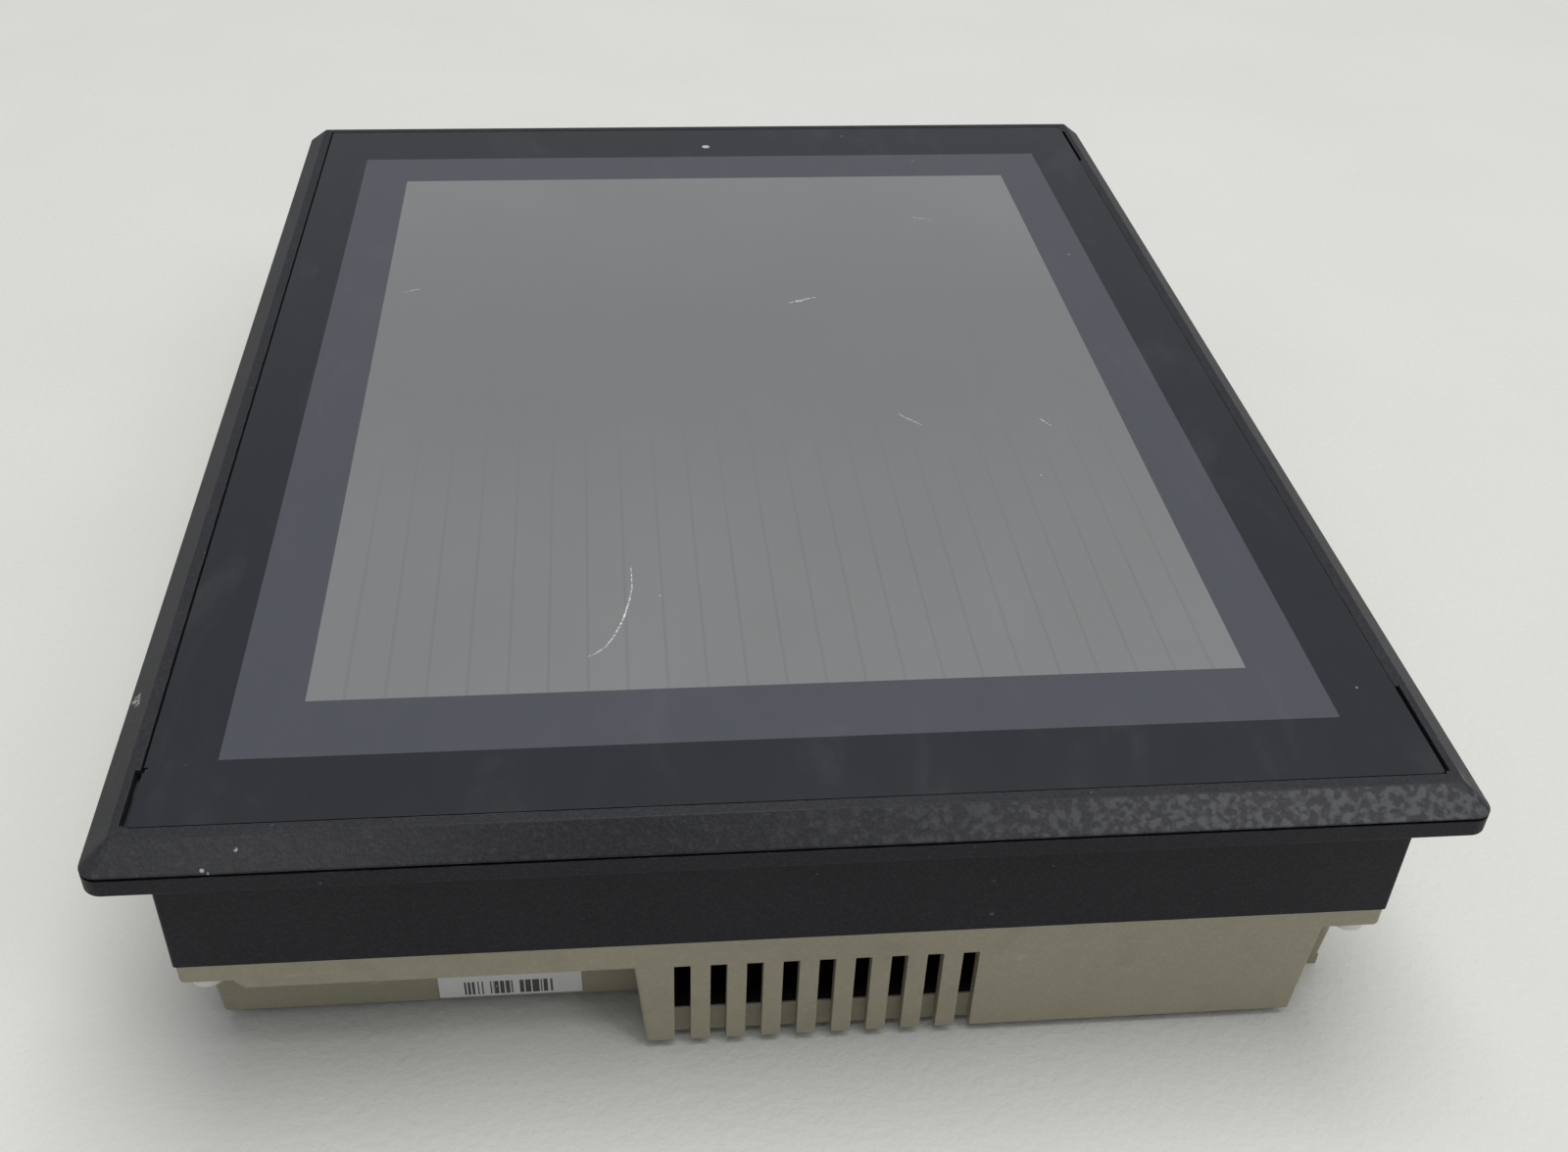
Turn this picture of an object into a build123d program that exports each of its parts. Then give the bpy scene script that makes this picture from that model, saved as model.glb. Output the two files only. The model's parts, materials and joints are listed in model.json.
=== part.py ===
from build123d import *
import os

# Panel-mounted touch terminal, in millimetres.
# X is the short axis, Y the long axis, and Z points out of the screen.
# The origin is under the middle of the terminal, on the plane that its back rests on.

# ---------------------------------------------------------------- driving sizes
WIDTH = 177.0                 # over the flange, along X
LENGTH = 232.0                # over the flange, along Y
DEPTH = 48.5                  # rear pad to front face

BODY_WIDTH = 165.1            # skirt that goes through the panel, along X
BODY_LENGTH = 219.5           # and along Y
BODY_RADIUS = 0.6
STRIP_WIDTH = 164.5           # rim of the rear case, along X
STRIP_RADIUS = 0.9
SKIRT_WALL = 2.5

SLOPE_WIDTH = 3.7             # mitred slope round the bezel
SLOPE_DROP = 3.0
RIM_FACE = 3.2                # upright face of the rim
RIM_LIP = 0.15                # between the slope and the shadow groove under it
RIM_GROOVE = 0.45             # height and depth of the shadow groove
RIM_RADIUS = 2.6
RIM_EDGE_RADIUS = 0.25        # softened edges of the rim
EDGE_RADIUS = 0.5             # softened edges of the rear case
RIM_EDGE = DEPTH - SLOPE_DROP
FLANGE_BACK = RIM_EDGE - RIM_FACE

SKIRT_BOTTOM = 22.0           # where the front case meets the rear case
STRIP_BOTTOM = 18.7           # rear face of the rear case's rim
DEEP_STRIP_BOTTOM = 17.1
DEEP_STRIP_LEFT = -73.6       # where the deeper stretch of the rim starts, after a slanted step
DEEP_STRIP_STEP = 1.3
BACK = 1.5                    # rear face of the deep block, in front of the pad
FOOT_LEFT = 76.0              # small feet at the ends of the connector bay
FOOT_END = 99.3
FOOT_THICKNESS = 2.0
BACK_WALL = 2.5

OVERLAY_WIDTH = 166.0
OVERLAY_LENGTH = 221.0
OVERLAY_THICKNESS = 0.25
OVERLAY_GAP = 0.2             # fine gap round the sheet
OVERLAY_SHIFT = 0.14          # the sheet lies a little to one side of its recess
RECESS_FLOOR = DEPTH - 0.3
MOAT_WIDTH = 0.45             # groove round the floor of the recess
MOAT_FLOOR = DEPTH - 1.6
POCKET_X = 83.2               # where the recess is wider, beside the sheet's corners
POCKET_WIDTH = 1.2
RIGHT_POCKETS = (-101.6, 99.2)
RIGHT_POCKET_LENGTH = 17.2
LEFT_POCKET = -105.3
LEFT_POCKET_LENGTH = 10.0
SHEET_NOTCH = 1.0             # nick in the sheet's edge at the end of the left pocket

WINDOW_SHIFT = -2.0           # the screen sits this far off the middle, along Y
TOUCH_WIDTH = 156.0
TOUCH_LENGTH = 198.0
TOUCH_GAP = 0.25
TOUCH_FILM = 0.2
TOUCH_GLASS = 1.8
TAPE = 0.5
LEDGE = 2.0                   # plate that carries the touch panel
LEDGE_OPENING_WIDTH = 133.0
LEDGE_OPENING_LENGTH = 176.0
GLASS_TOP = RECESS_FLOOR - TOUCH_FILM
GLASS_BACK = GLASS_TOP - TOUCH_GLASS
LEDGE_TOP = GLASS_BACK - TAPE
LEDGE_BACK = LEDGE_TOP - LEDGE

LCD_WIDTH = 142.5             # display module
LCD_LENGTH = 199.0
LCD_SHIFT = -2.45
LCD_TOP = LEDGE_BACK - TAPE
LCD_BACK = 31.2
LCD_SHEET = 0.5               # steel of its front frame
CELL_TOP = LCD_TOP - LCD_SHEET
CELL_BACK = CELL_TOP - 2.3

SEAL_GROOVE_OUTER = (174.0, 229.0)    # groove for the panel seal, behind the flange
SEAL_GROOVE_INNER = (168.4, 223.4)
SEAL_CORNER = 3.0
SEAL_CLEARANCE = 0.2
SEAL_THICKNESS = 1.2
PIPE_GUIDE_BACK = 37.0        # guide and light pipe of the status lamp
PIPE_BACK = 35.4
PIPE_COLLAR = 1.5
PIPE_COLLAR_RADIUS = 1.7
LED_RADIUS = 1.5
LED_HEIGHT = 3.6
LCD_FRAME_BACK = 33.0         # display module: steel frame, and half sizes of its layers
LCD_FRAME_OPENING = (131.5, 174.5)
CELL_HALF = (69.0, 93.0)
PAN_HALF = (70.6, 98.9)
SHEET_HALF = (66.8, 90.8)
GUIDE_HALF = (62.5, 90.5)
LAYER_PLAY = 0.2
PAN_FLOOR = 1.0
REFLECTOR = 0.3
GUIDE = 6.5
DIFFUSER = 0.8
TUBE_X = 64.7                 # lamp tubes beside the light guide
TUBE_REACH = 86.0
TUBE_RADIUS = 1.3
TUBE_Z = LCD_BACK + 4.5

CHASSIS = 1.2                 # steel plate behind the display
CHASSIS_BACK = LCD_BACK - CHASSIS
CHASSIS_WIDTH = 158.6
CHASSIS_LENGTH = 205.6

BOARD_BACK = 20.5             # component side of the main board
BOARD = 1.6
BOARD_FRONT = BOARD_BACK + BOARD
BOARD_LEFT = -75.0
BOARD_RIGHT = 59.0
BOARD_NEAR = -66.0
BOARD_FAR = 97.0

BLOCK_LEFT = -81.7            # deep block of the rear case, at the strip
BLOCK_RIGHT = 81.8
BLOCK_RADIUS = 0.7
BLOCK_END = 101.3
BLOCK_INSIDE_END = 98.2
BLOCK_DRAFT = 1.0             # how far its sides lean in by the rear face
VENT_BOX_LEFT = -22.3         # ventilated box on the near side
VENT_BOX_RIGHT = 74.1
VENT_BOX_LEFT_DRAFT = 1.6     # how far its sides lean in by the rear face
VENT_BOX_RIGHT_DRAFT = 1.2
FAR_BOX_LEFT = -60.0          # box with the card door on the far side
BOX_END = BODY_LENGTH / 2
BOX_BACK = 1.5
BOX_WALL = 2.0

SLOT_WIDTH = 2.3              # ventilation slots
SLOT_PITCH = 5.0
SLOT_TOP = 17.3
SLOT_COUNT = 9
SILL_TOP = 6.3                # sill inside the near box, behind the feet of the slots
SILL_WIDTH = 2.4
NEAR_SLOT_FIRST = -15.6       # middle of the first slot
FAR_SLOT_FIRST = 29.0

PORT_REAR = 49.0              # serial sockets: body, flange, D-shaped shell and contacts
PORT_FLANGE_REAR = 59.2
PORT_HALF = 15.4
SHELL_LENGTH = 6.0
CONTACT_PITCH = 2.76
CONTACT_ROW = 1.42
CONTACT_HOLE = 0.6
JACKSCREW_OFFSET = 12.5
JACKSCREW_RADIUS = 1.4
JACKSCREW_HEAD_RADIUS = 2.7
JACKSCREW_HEAD = 5.5
JACKSCREW_THREAD = 1.2

BAY_WALL_INNER = 60.0         # wall that carries the connectors
BAY_WALL_OUTER = 62.0
BAY_NEAR = -70.0
BAY_FAR = 98.0
BAY_ROOF = 20.8
BAY_LIP_INNER = 79.5          # rim left standing in front of the bay's roof

LAMP_X = 0.2                  # status lamp in the bezel
LAMP_Y = 100.6
LAMP_DIAMETER = 1.8

BOSS_X = 75.5                 # bosses for the chassis screws
BOSS_Y = 96.0
CORNER_X = 79.2               # corner screws that hold the two cases together
CORNER_Y = 106.2
CORNER_SHANK = 13.3

SCREW_THREAD = 2.5            # self-tapping screws
SCREW_HEAD = 5.0
SCREW_HEAD_HEIGHT = 2.0

FITTING_SLOT_Y = 75.0         # slots for the panel fittings, in the long sides
FITTING_SLOT_LENGTH = 12.0
FITTING_SLOT_HEIGHT = 3.2
FITTING_SLOT_Z = 29.0

PORT_A_Y = -16.0              # middles of the sockets along the bay
PORT_B_Y = 18.0
NETWORK_Y = 45.0
HOST_Y = 63.0
SLAVE_Y = 80.0
POWER_Y = -50.0
PORT_Z = 13.6

PAD_X = 2.0                   # rear pad that holds the expansion cover
PAD_WIDTH = 78.0
PAD_LENGTH = 116.0
COVER_WIDTH = 62.0
COVER_LENGTH = 98.0
COVER_GAP = 0.2

BATTERY_DOOR_LEFT = -72.0     # opening for the battery cover
BATTERY_DOOR_RIGHT = -45.8
BATTERY_DOOR_NEAR = 64.0
BATTERY_DOOR_FAR = 98.0
DOOR_GAP = 0.2
DOOR_THICKNESS = 1.6
KNUCKLE_RADIUS = 1.2
PIN_RADIUS = 0.7
PIN_HOLE_RADIUS = 0.75
PIN_LENGTH = 1.4

CARD_DOOR_LEFT = -46.0        # opening for the card door
CARD_DOOR_RIGHT = 20.0
CARD_DOOR_LOW = 7.0
CARD_DOOR_HIGH = 20.3
CARD_WALL_FRONT = 105.0       # inner wall behind the card door
CARD_WALL_BACK = 103.5
CARD_LEFT = -42.0            # memory card socket
CARD_RIGHT = 4.0
EJECT_X = 10.5

RESET_X = 16.0                # reset button, reached through the rear face
RESET_Y = 70.0
RESET_RADIUS = 2.0
DIP_X = 32.0                  # row of small switches in a well of the rear face
DIP_Y = 84.0
DIP_COUNT = 6
DIP_PITCH = 2.54

os.makedirs("parts", exist_ok=True)


# ---------------------------------------------------------------- shared shapes
def slab(x_low, x_high, y_low, y_high, z_low, z_high, mode=Mode.ADD):
    """Box between six faces, added to or cut from the part being built."""
    with Locations((x_low, y_low, z_low)):
        Box(x_high - x_low, y_high - y_low, z_high - z_low,
            align=(Align.MIN, Align.MIN, Align.MIN), mode=mode)


def post(x, y, z_low, z_high, radius, mode=Mode.ADD):
    """Upright cylinder in the part being built."""
    with Locations((x, y, z_low)):
        Cylinder(radius, z_high - z_low,
                 align=(Align.CENTER, Align.CENTER, Align.MIN), mode=mode)


def rod_along_x(x_low, x_high, y, z, radius, mode=Mode.ADD):
    """Cylinder lying along X in the part being built."""
    with Locations(Location((x_low, y, z), (0, 90, 0))):
        Cylinder(radius, x_high - x_low,
                 align=(Align.CENTER, Align.CENTER, Align.MIN), mode=mode)


def rod_along_y(x, y_low, y_high, z, radius, mode=Mode.ADD):
    """Cylinder lying along Y in the part being built."""
    with Locations(Location((x, y_low, z), (-90, 0, 0))):
        Cylinder(radius, y_high - y_low,
                 align=(Align.CENTER, Align.CENTER, Align.MIN), mode=mode)


def pan_screw(x, y, seat, shank_length):
    """Pan-head screw driven upwards, its head under the seat, with a cross recess."""
    post(x, y, seat, seat + shank_length, SCREW_THREAD / 2)
    post(x, y, seat - SCREW_HEAD_HEIGHT, seat, SCREW_HEAD / 2)
    slot_depth = 0.9
    for half_x, half_y in ((1.4, 0.35), (0.35, 1.4)):
        slab(x - half_x, x + half_x, y - half_y, y + half_y,
             seat - SCREW_HEAD_HEIGHT, seat - SCREW_HEAD_HEIGHT + slot_depth,
             mode=Mode.SUBTRACT)


def lcd_layer(half_x, half_y, z_low, z_high, mode=Mode.ADD):
    """A flat layer of the display module, from its half sizes."""
    slab(-half_x, half_x, LCD_SHIFT - half_y, LCD_SHIFT + half_y, z_low, z_high, mode=mode)


def corners(x, y):
    """The four places at plus and minus x and y."""
    return [(sx * x, sy * y) for sx in (-1, 1) for sy in (-1, 1)]


chassis_screw_places = [(sx * BOSS_X, y) for sx in (-1, 1) for y in (-BOSS_Y, 0.0, BOSS_Y)]
corner_screw_places = corners(CORNER_X, CORNER_Y)
near_slots = [NEAR_SLOT_FIRST + SLOT_PITCH * i for i in range(SLOT_COUNT)]
far_slots = [FAR_SLOT_FIRST + SLOT_PITCH * i for i in range(SLOT_COUNT)]
side_slots = [SLOT_PITCH * (i - 8) for i in range(17)]

# ---------------------------------------------------------------- front case
def recess_pockets():
    """Outlines of the pockets that widen the front recess."""
    with Locations(*[(POCKET_X, y) for y in RIGHT_POCKETS]):
        Rectangle(POCKET_WIDTH, RIGHT_POCKET_LENGTH)
    with Locations((-POCKET_X, LEFT_POCKET)):
        Rectangle(POCKET_WIDTH, LEFT_POCKET_LENGTH)


with BuildPart() as front_case:
    # flange
    with BuildSketch(Plane.XY.offset(FLANGE_BACK)):
        RectangleRounded(WIDTH, LENGTH, RIM_RADIUS)
    extrude(amount=RIM_FACE)
    # mitred slope up to the front face
    with BuildSketch(Plane.XY.offset(RIM_EDGE)):
        RectangleRounded(WIDTH, LENGTH, RIM_RADIUS)
    with BuildSketch(Plane.XY.offset(DEPTH)):
        RectangleRounded(WIDTH - 2 * SLOPE_WIDTH, LENGTH - 2 * SLOPE_WIDTH, 0.5)
    loft()
    # softened edges of the rim
    fillet(front_case.edges().filter_by_position(Axis.Z, RIM_EDGE - 0.01, RIM_EDGE + 0.01),
           radius=RIM_EDGE_RADIUS)
    fillet(front_case.edges().filter_by_position(Axis.Z, FLANGE_BACK - 0.01, FLANGE_BACK + 0.01),
           radius=RIM_EDGE_RADIUS)
    # shadow groove round the rim, just under the slope
    with BuildSketch(Plane.XY.offset(RIM_EDGE - RIM_LIP - RIM_GROOVE)):
        RectangleRounded(WIDTH + 2.0, LENGTH + 2.0, RIM_RADIUS)
        RectangleRounded(WIDTH - 2 * RIM_GROOVE, LENGTH - 2 * RIM_GROOVE, RIM_RADIUS - RIM_GROOVE,
                         mode=Mode.SUBTRACT)
    extrude(amount=RIM_GROOVE, mode=Mode.SUBTRACT)
    # skirt that goes through the panel
    with BuildSketch(Plane.XY.offset(SKIRT_BOTTOM)):
        RectangleRounded(BODY_WIDTH, BODY_LENGTH, BODY_RADIUS)
    extrude(amount=FLANGE_BACK - SKIRT_BOTTOM)
    with BuildSketch(Plane.XY.offset(SKIRT_BOTTOM)):
        RectangleRounded(BODY_WIDTH - 2 * SKIRT_WALL, BODY_LENGTH - 2 * SKIRT_WALL, 1.0)
    extrude(amount=LEDGE_BACK - SKIRT_BOTTOM, mode=Mode.SUBTRACT)
    # recess for the printed sheet, wider beside its corners
    with BuildSketch(Plane.XY.offset(RECESS_FLOOR)):
        Rectangle(OVERLAY_WIDTH + 2 * OVERLAY_GAP, OVERLAY_LENGTH + 2 * OVERLAY_GAP)
        recess_pockets()
    extrude(amount=DEPTH - RECESS_FLOOR, mode=Mode.SUBTRACT)
    # moat round the floor of the recess
    with BuildSketch(Plane.XY.offset(MOAT_FLOOR)):
        Rectangle(OVERLAY_WIDTH + 2 * OVERLAY_GAP, OVERLAY_LENGTH + 2 * OVERLAY_GAP)
        recess_pockets()
        Rectangle(OVERLAY_WIDTH + 2 * OVERLAY_GAP - 2 * MOAT_WIDTH,
                  OVERLAY_LENGTH + 2 * OVERLAY_GAP - 2 * MOAT_WIDTH, mode=Mode.SUBTRACT)
    extrude(amount=RECESS_FLOOR - MOAT_FLOOR, mode=Mode.SUBTRACT)
    # pocket for the touch panel, and the opening for the display
    with BuildSketch(Plane.XY.offset(LEDGE_TOP)):
        with Locations((0, WINDOW_SHIFT)):
            RectangleRounded(TOUCH_WIDTH + 2 * TOUCH_GAP, TOUCH_LENGTH + 2 * TOUCH_GAP, 1.0)
    extrude(amount=RECESS_FLOOR - LEDGE_TOP, mode=Mode.SUBTRACT)
    with BuildSketch(Plane.XY.offset(LEDGE_BACK)):
        with Locations((0, LCD_SHIFT)):
            RectangleRounded(LEDGE_OPENING_WIDTH, LEDGE_OPENING_LENGTH, 1.0)
    extrude(amount=LEDGE, mode=Mode.SUBTRACT)
    # slot for the touch panel's tail
    slab(-47.0, -33.0, 96.0, 100.0, LEDGE_BACK, RECESS_FLOOR, mode=Mode.SUBTRACT)
    # groove for the panel seal, open at the back of the flange
    with BuildSketch(Plane.XY.offset(FLANGE_BACK)):
        RectangleRounded(*SEAL_GROOVE_OUTER, SEAL_CORNER)
        RectangleRounded(*SEAL_GROOVE_INNER, SEAL_CORNER - 1.0, mode=Mode.SUBTRACT)
    extrude(amount=SEAL_THICKNESS, mode=Mode.SUBTRACT)
    # bosses for the chassis screws
    for x, y in chassis_screw_places:
        post(x, y, LCD_BACK, LEDGE_BACK, 3.5)
        post(x, y, LCD_BACK, LCD_BACK + 9.0, SCREW_THREAD / 2, mode=Mode.SUBTRACT)
    # corner columns for the case screws
    for x, y in corner_screw_places:
        post(x, y, SKIRT_BOTTOM, LEDGE_BACK, 3.0)
        post(x, y, SKIRT_BOTTOM, SKIRT_BOTTOM + 10.0, SCREW_THREAD / 2, mode=Mode.SUBTRACT)
    # guide for the lamp's light pipe
    post(LAMP_X, LAMP_Y, PIPE_GUIDE_BACK, LEDGE_BACK, 2.0)
    post(LAMP_X, LAMP_Y, PIPE_GUIDE_BACK - 1.0, DEPTH, LAMP_DIAMETER / 2, mode=Mode.SUBTRACT)
    # slots for the panel fittings
    for side in (-1, 1):
        for y in (-FITTING_SLOT_Y, FITTING_SLOT_Y):
            with Locations((side * (BODY_WIDTH - SKIRT_WALL) / 2, y, FITTING_SLOT_Z)):
                Box(SKIRT_WALL + 1.0, FITTING_SLOT_LENGTH, FITTING_SLOT_HEIGHT, mode=Mode.SUBTRACT)
front_case.part.label = "front_case"
export_step(front_case.part, "parts/front_case.step")

with BuildPart() as panel_gasket:
    with BuildSketch(Plane.XY.offset(FLANGE_BACK)):
        RectangleRounded(*[size - 2 * SEAL_CLEARANCE for size in SEAL_GROOVE_OUTER],
                         SEAL_CORNER - SEAL_CLEARANCE)
        RectangleRounded(*[size + 2 * SEAL_CLEARANCE for size in SEAL_GROOVE_INNER],
                         SEAL_CORNER - 1.0 + SEAL_CLEARANCE, mode=Mode.SUBTRACT)
    extrude(amount=SEAL_THICKNESS)
panel_gasket.part.label = "panel_gasket"
export_step(panel_gasket.part, "parts/panel_gasket.step")

# ---------------------------------------------------------------- front sheet and touch panel
with BuildPart() as overlay_sheet:
    with BuildSketch(Plane.XY.offset(RECESS_FLOOR)):
        with Locations((OVERLAY_SHIFT, 0)):
            RectangleRounded(OVERLAY_WIDTH, OVERLAY_LENGTH, 0.6)
        with Locations((OVERLAY_SHIFT - OVERLAY_WIDTH / 2, LEFT_POCKET + LEFT_POCKET_LENGTH / 2)):
            Rectangle(SHEET_NOTCH, SHEET_NOTCH, mode=Mode.SUBTRACT)
        with Locations((LAMP_X, LAMP_Y)):
            Circle(LAMP_DIAMETER / 2 + 0.1, mode=Mode.SUBTRACT)
    extrude(amount=OVERLAY_THICKNESS)
overlay_sheet.part.label = "overlay_sheet"
export_step(overlay_sheet.part, "parts/overlay_sheet.step")

with BuildPart() as touch_film:
    with BuildSketch(Plane.XY.offset(GLASS_TOP)):
        with Locations((0, WINDOW_SHIFT)):
            RectangleRounded(TOUCH_WIDTH, TOUCH_LENGTH, 0.8)
    extrude(amount=TOUCH_FILM)
touch_film.part.label = "touch_film"
export_step(touch_film.part, "parts/touch_film.step")

with BuildPart() as touch_glass:
    with BuildSketch(Plane.XY.offset(GLASS_BACK)):
        with Locations((0, WINDOW_SHIFT)):
            RectangleRounded(TOUCH_WIDTH, TOUCH_LENGTH, 0.8)
    extrude(amount=TOUCH_GLASS)
    chamfer(touch_glass.faces().sort_by(Axis.Z)[0].edges(), length=0.3)
touch_glass.part.label = "touch_glass"
export_step(touch_glass.part, "parts/touch_glass.step")

with BuildPart() as touch_seal_tape:
    with BuildSketch(Plane.XY.offset(LEDGE_TOP)):
        with Locations((0, WINDOW_SHIFT)):
            Rectangle(TOUCH_WIDTH - 1.0, TOUCH_LENGTH - 1.0)
            Rectangle(LEDGE_OPENING_WIDTH + 4.0, LEDGE_OPENING_LENGTH + 4.0, mode=Mode.SUBTRACT)
    extrude(amount=TAPE)
touch_seal_tape.part.label = "touch_seal_tape"
export_step(touch_seal_tape.part, "parts/touch_seal_tape.step")

TAIL_X = -40.0
TAIL_WIDTH = 12.0
TAIL_THICKNESS = 0.2
TAIL_DROP_Y = 98.7
TAIL_LOW = 25.2
TAIL_END_Y = 95.5
TAIL_LEVEL = GLASS_TOP - 0.4
with BuildPart() as touch_tail:
    with BuildSketch(Plane.YZ.offset(TAIL_X - TAIL_WIDTH / 2)):
        with BuildLine():
            FilletPolyline(
                (WINDOW_SHIFT + TOUCH_LENGTH / 2, TAIL_LEVEL),
                (TAIL_DROP_Y, TAIL_LEVEL),
                (TAIL_DROP_Y, TAIL_LOW),
                (TAIL_END_Y, TAIL_LOW),
                radius=0.6,
            )
        trace(line_width=TAIL_THICKNESS)
    extrude(amount=TAIL_WIDTH)
touch_tail.part.label = "touch_tail"
export_step(touch_tail.part, "parts/touch_tail.step")

# ---------------------------------------------------------------- status lamp
with BuildPart() as led_light_pipe:
    post(LAMP_X, LAMP_Y, PIPE_BACK, DEPTH - 0.05, LAMP_DIAMETER / 2)
    post(LAMP_X, LAMP_Y, PIPE_BACK, PIPE_BACK + PIPE_COLLAR, PIPE_COLLAR_RADIUS)
led_light_pipe.part.label = "led_light_pipe"
export_step(led_light_pipe.part, "parts/led_light_pipe.step")

with BuildPart() as status_led:
    post(LAMP_X, LAMP_Y, LCD_BACK, LCD_BACK + 1.0, LED_RADIUS + 0.4)
    post(LAMP_X, LAMP_Y, LCD_BACK, LCD_BACK + LED_HEIGHT, LED_RADIUS)
    fillet(status_led.faces().sort_by(Axis.Z)[-1].edges(), radius=0.8 * LED_RADIUS)
status_led.part.label = "status_led"
export_step(status_led.part, "parts/status_led.step")

# ---------------------------------------------------------------- display module
with BuildPart() as lcd_gasket:
    with BuildSketch(Plane.XY.offset(LCD_TOP)):
        with Locations((0, LCD_SHIFT)):
            Rectangle(LCD_WIDTH - 2.0, LCD_LENGTH - 2.0)
            Rectangle(LEDGE_OPENING_WIDTH + 1.0, LEDGE_OPENING_LENGTH + 1.0, mode=Mode.SUBTRACT)
    extrude(amount=TAPE)
lcd_gasket.part.label = "lcd_gasket"
export_step(lcd_gasket.part, "parts/lcd_gasket.step")

with BuildPart() as lcd_front_frame:
    with BuildSketch(Plane.XY.offset(LCD_FRAME_BACK)):
        with Locations((0, LCD_SHIFT)):
            RectangleRounded(LCD_WIDTH, LCD_LENGTH, 1.0)
    extrude(amount=LCD_TOP - LCD_FRAME_BACK)
    with BuildSketch(Plane.XY.offset(LCD_FRAME_BACK)):
        with Locations((0, LCD_SHIFT)):
            Rectangle(LCD_WIDTH - 2 * LCD_SHEET, LCD_LENGTH - 2 * LCD_SHEET)
    extrude(amount=CELL_TOP - LCD_FRAME_BACK, mode=Mode.SUBTRACT)
    with BuildSketch(Plane.XY.offset(CELL_TOP)):
        with Locations((0, LCD_SHIFT)):
            Rectangle(*LCD_FRAME_OPENING)
    extrude(amount=LCD_SHEET, mode=Mode.SUBTRACT)
lcd_front_frame.part.label = "lcd_front_frame"
export_step(lcd_front_frame.part, "parts/lcd_front_frame.step")

with BuildPart() as lcd_glass:
    lcd_layer(*CELL_HALF, CELL_BACK, CELL_TOP)
lcd_glass.part.label = "lcd_glass"
export_step(lcd_glass.part, "parts/lcd_glass.step")

with BuildPart() as lcd_rear_pan:
    lcd_layer(*PAN_HALF, LCD_BACK, CELL_TOP)
    lcd_layer(*[half + LAYER_PLAY for half in CELL_HALF], CELL_BACK, CELL_TOP, mode=Mode.SUBTRACT)
    lcd_layer(*[half + LAYER_PLAY for half in SHEET_HALF], LCD_BACK + PAN_FLOOR, CELL_BACK,
              mode=Mode.SUBTRACT)
lcd_rear_pan.part.label = "lcd_rear_pan"
export_step(lcd_rear_pan.part, "parts/lcd_rear_pan.step")

with BuildPart() as reflector_sheet:
    lcd_layer(*SHEET_HALF, LCD_BACK + PAN_FLOOR, LCD_BACK + PAN_FLOOR + REFLECTOR)
reflector_sheet.part.label = "reflector_sheet"
export_step(reflector_sheet.part, "parts/reflector_sheet.step")

with BuildPart() as light_guide:
    lcd_layer(*GUIDE_HALF, LCD_BACK + PAN_FLOOR + REFLECTOR, LCD_BACK + PAN_FLOOR + REFLECTOR + GUIDE)
light_guide.part.label = "light_guide"
export_step(light_guide.part, "parts/light_guide.step")

with BuildPart() as diffuser_sheet:
    lcd_layer(*SHEET_HALF, CELL_BACK - DIFFUSER, CELL_BACK)
diffuser_sheet.part.label = "diffuser_sheet"
export_step(diffuser_sheet.part, "parts/diffuser_sheet.step")

with BuildPart() as backlight_lamps:
    for x in (-TUBE_X, TUBE_X):
        rod_along_y(x, LCD_SHIFT - TUBE_REACH, LCD_SHIFT + TUBE_REACH, TUBE_Z, TUBE_RADIUS)
        for side in (-1, 1):
            holder = LCD_SHIFT + side * TUBE_REACH
            rod_along_y(x, holder - 2.0, holder + 2.0, TUBE_Z, TUBE_RADIUS + 0.7)
backlight_lamps.part.label = "backlight_lamps"
export_step(backlight_lamps.part, "parts/backlight_lamps.step")

LCD_CABLE_WIDTH = 20.0
with BuildPart() as lcd_cable:
    with BuildSketch(Plane.YZ.offset(-LCD_CABLE_WIDTH / 2)):
        with BuildLine():
            FilletPolyline((22.0, LCD_BACK - 0.15), (30.0, LCD_BACK - 0.15), (30.0, 26.1), radius=1.5)
        trace(line_width=0.3)
    extrude(amount=LCD_CABLE_WIDTH)
lcd_cable.part.label = "lcd_cable"
export_step(lcd_cable.part, "parts/lcd_cable.step")

# ---------------------------------------------------------------- chassis
with BuildPart() as chassis_plate:
    with BuildSketch(Plane.XY.offset(CHASSIS_BACK)):
        RectangleRounded(CHASSIS_WIDTH, CHASSIS_LENGTH, 2.0)
        # window for the display cable, and notch for the touch panel's tail
        with Locations((0, 27.0)):
            Rectangle(26.0, 14.0, mode=Mode.SUBTRACT)
        with Locations((TAIL_X, CHASSIS_LENGTH / 2)):
            Rectangle(16.0, 9.0, mode=Mode.SUBTRACT)
        # openings for air
        for x in (-45.0, 45.0):
            for y in (-40.0, 60.0):
                with Locations((x, y)):
                    SlotOverall(40.0, 8.0, rotation=90, mode=Mode.SUBTRACT)
        with Locations(*chassis_screw_places):
            Circle(SCREW_THREAD / 2 + 0.3, mode=Mode.SUBTRACT)
    extrude(amount=CHASSIS)
chassis_plate.part.label = "chassis_plate"
export_step(chassis_plate.part, "parts/chassis_plate.step")

with BuildPart() as chassis_screws:
    for x, y in chassis_screw_places:
        pan_screw(x, y, CHASSIS_BACK, 8.0)
chassis_screws.part.label = "chassis_screws"
export_step(chassis_screws.part, "parts/chassis_screws.step")

# ---------------------------------------------------------------- inverter for the backlight
INVERTER_BACK = 24.4
with BuildPart() as inverter_board:
    slab(-66.0, 50.0, -96.0, -72.0, INVERTER_BACK, INVERTER_BACK + 1.6)
    for x in (-60.0, 44.0):
        post(x, -84.0, INVERTER_BACK + 1.6, CHASSIS_BACK, 2.5)
inverter_board.part.label = "inverter_board"
export_step(inverter_board.part, "parts/inverter_board.step")

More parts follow.
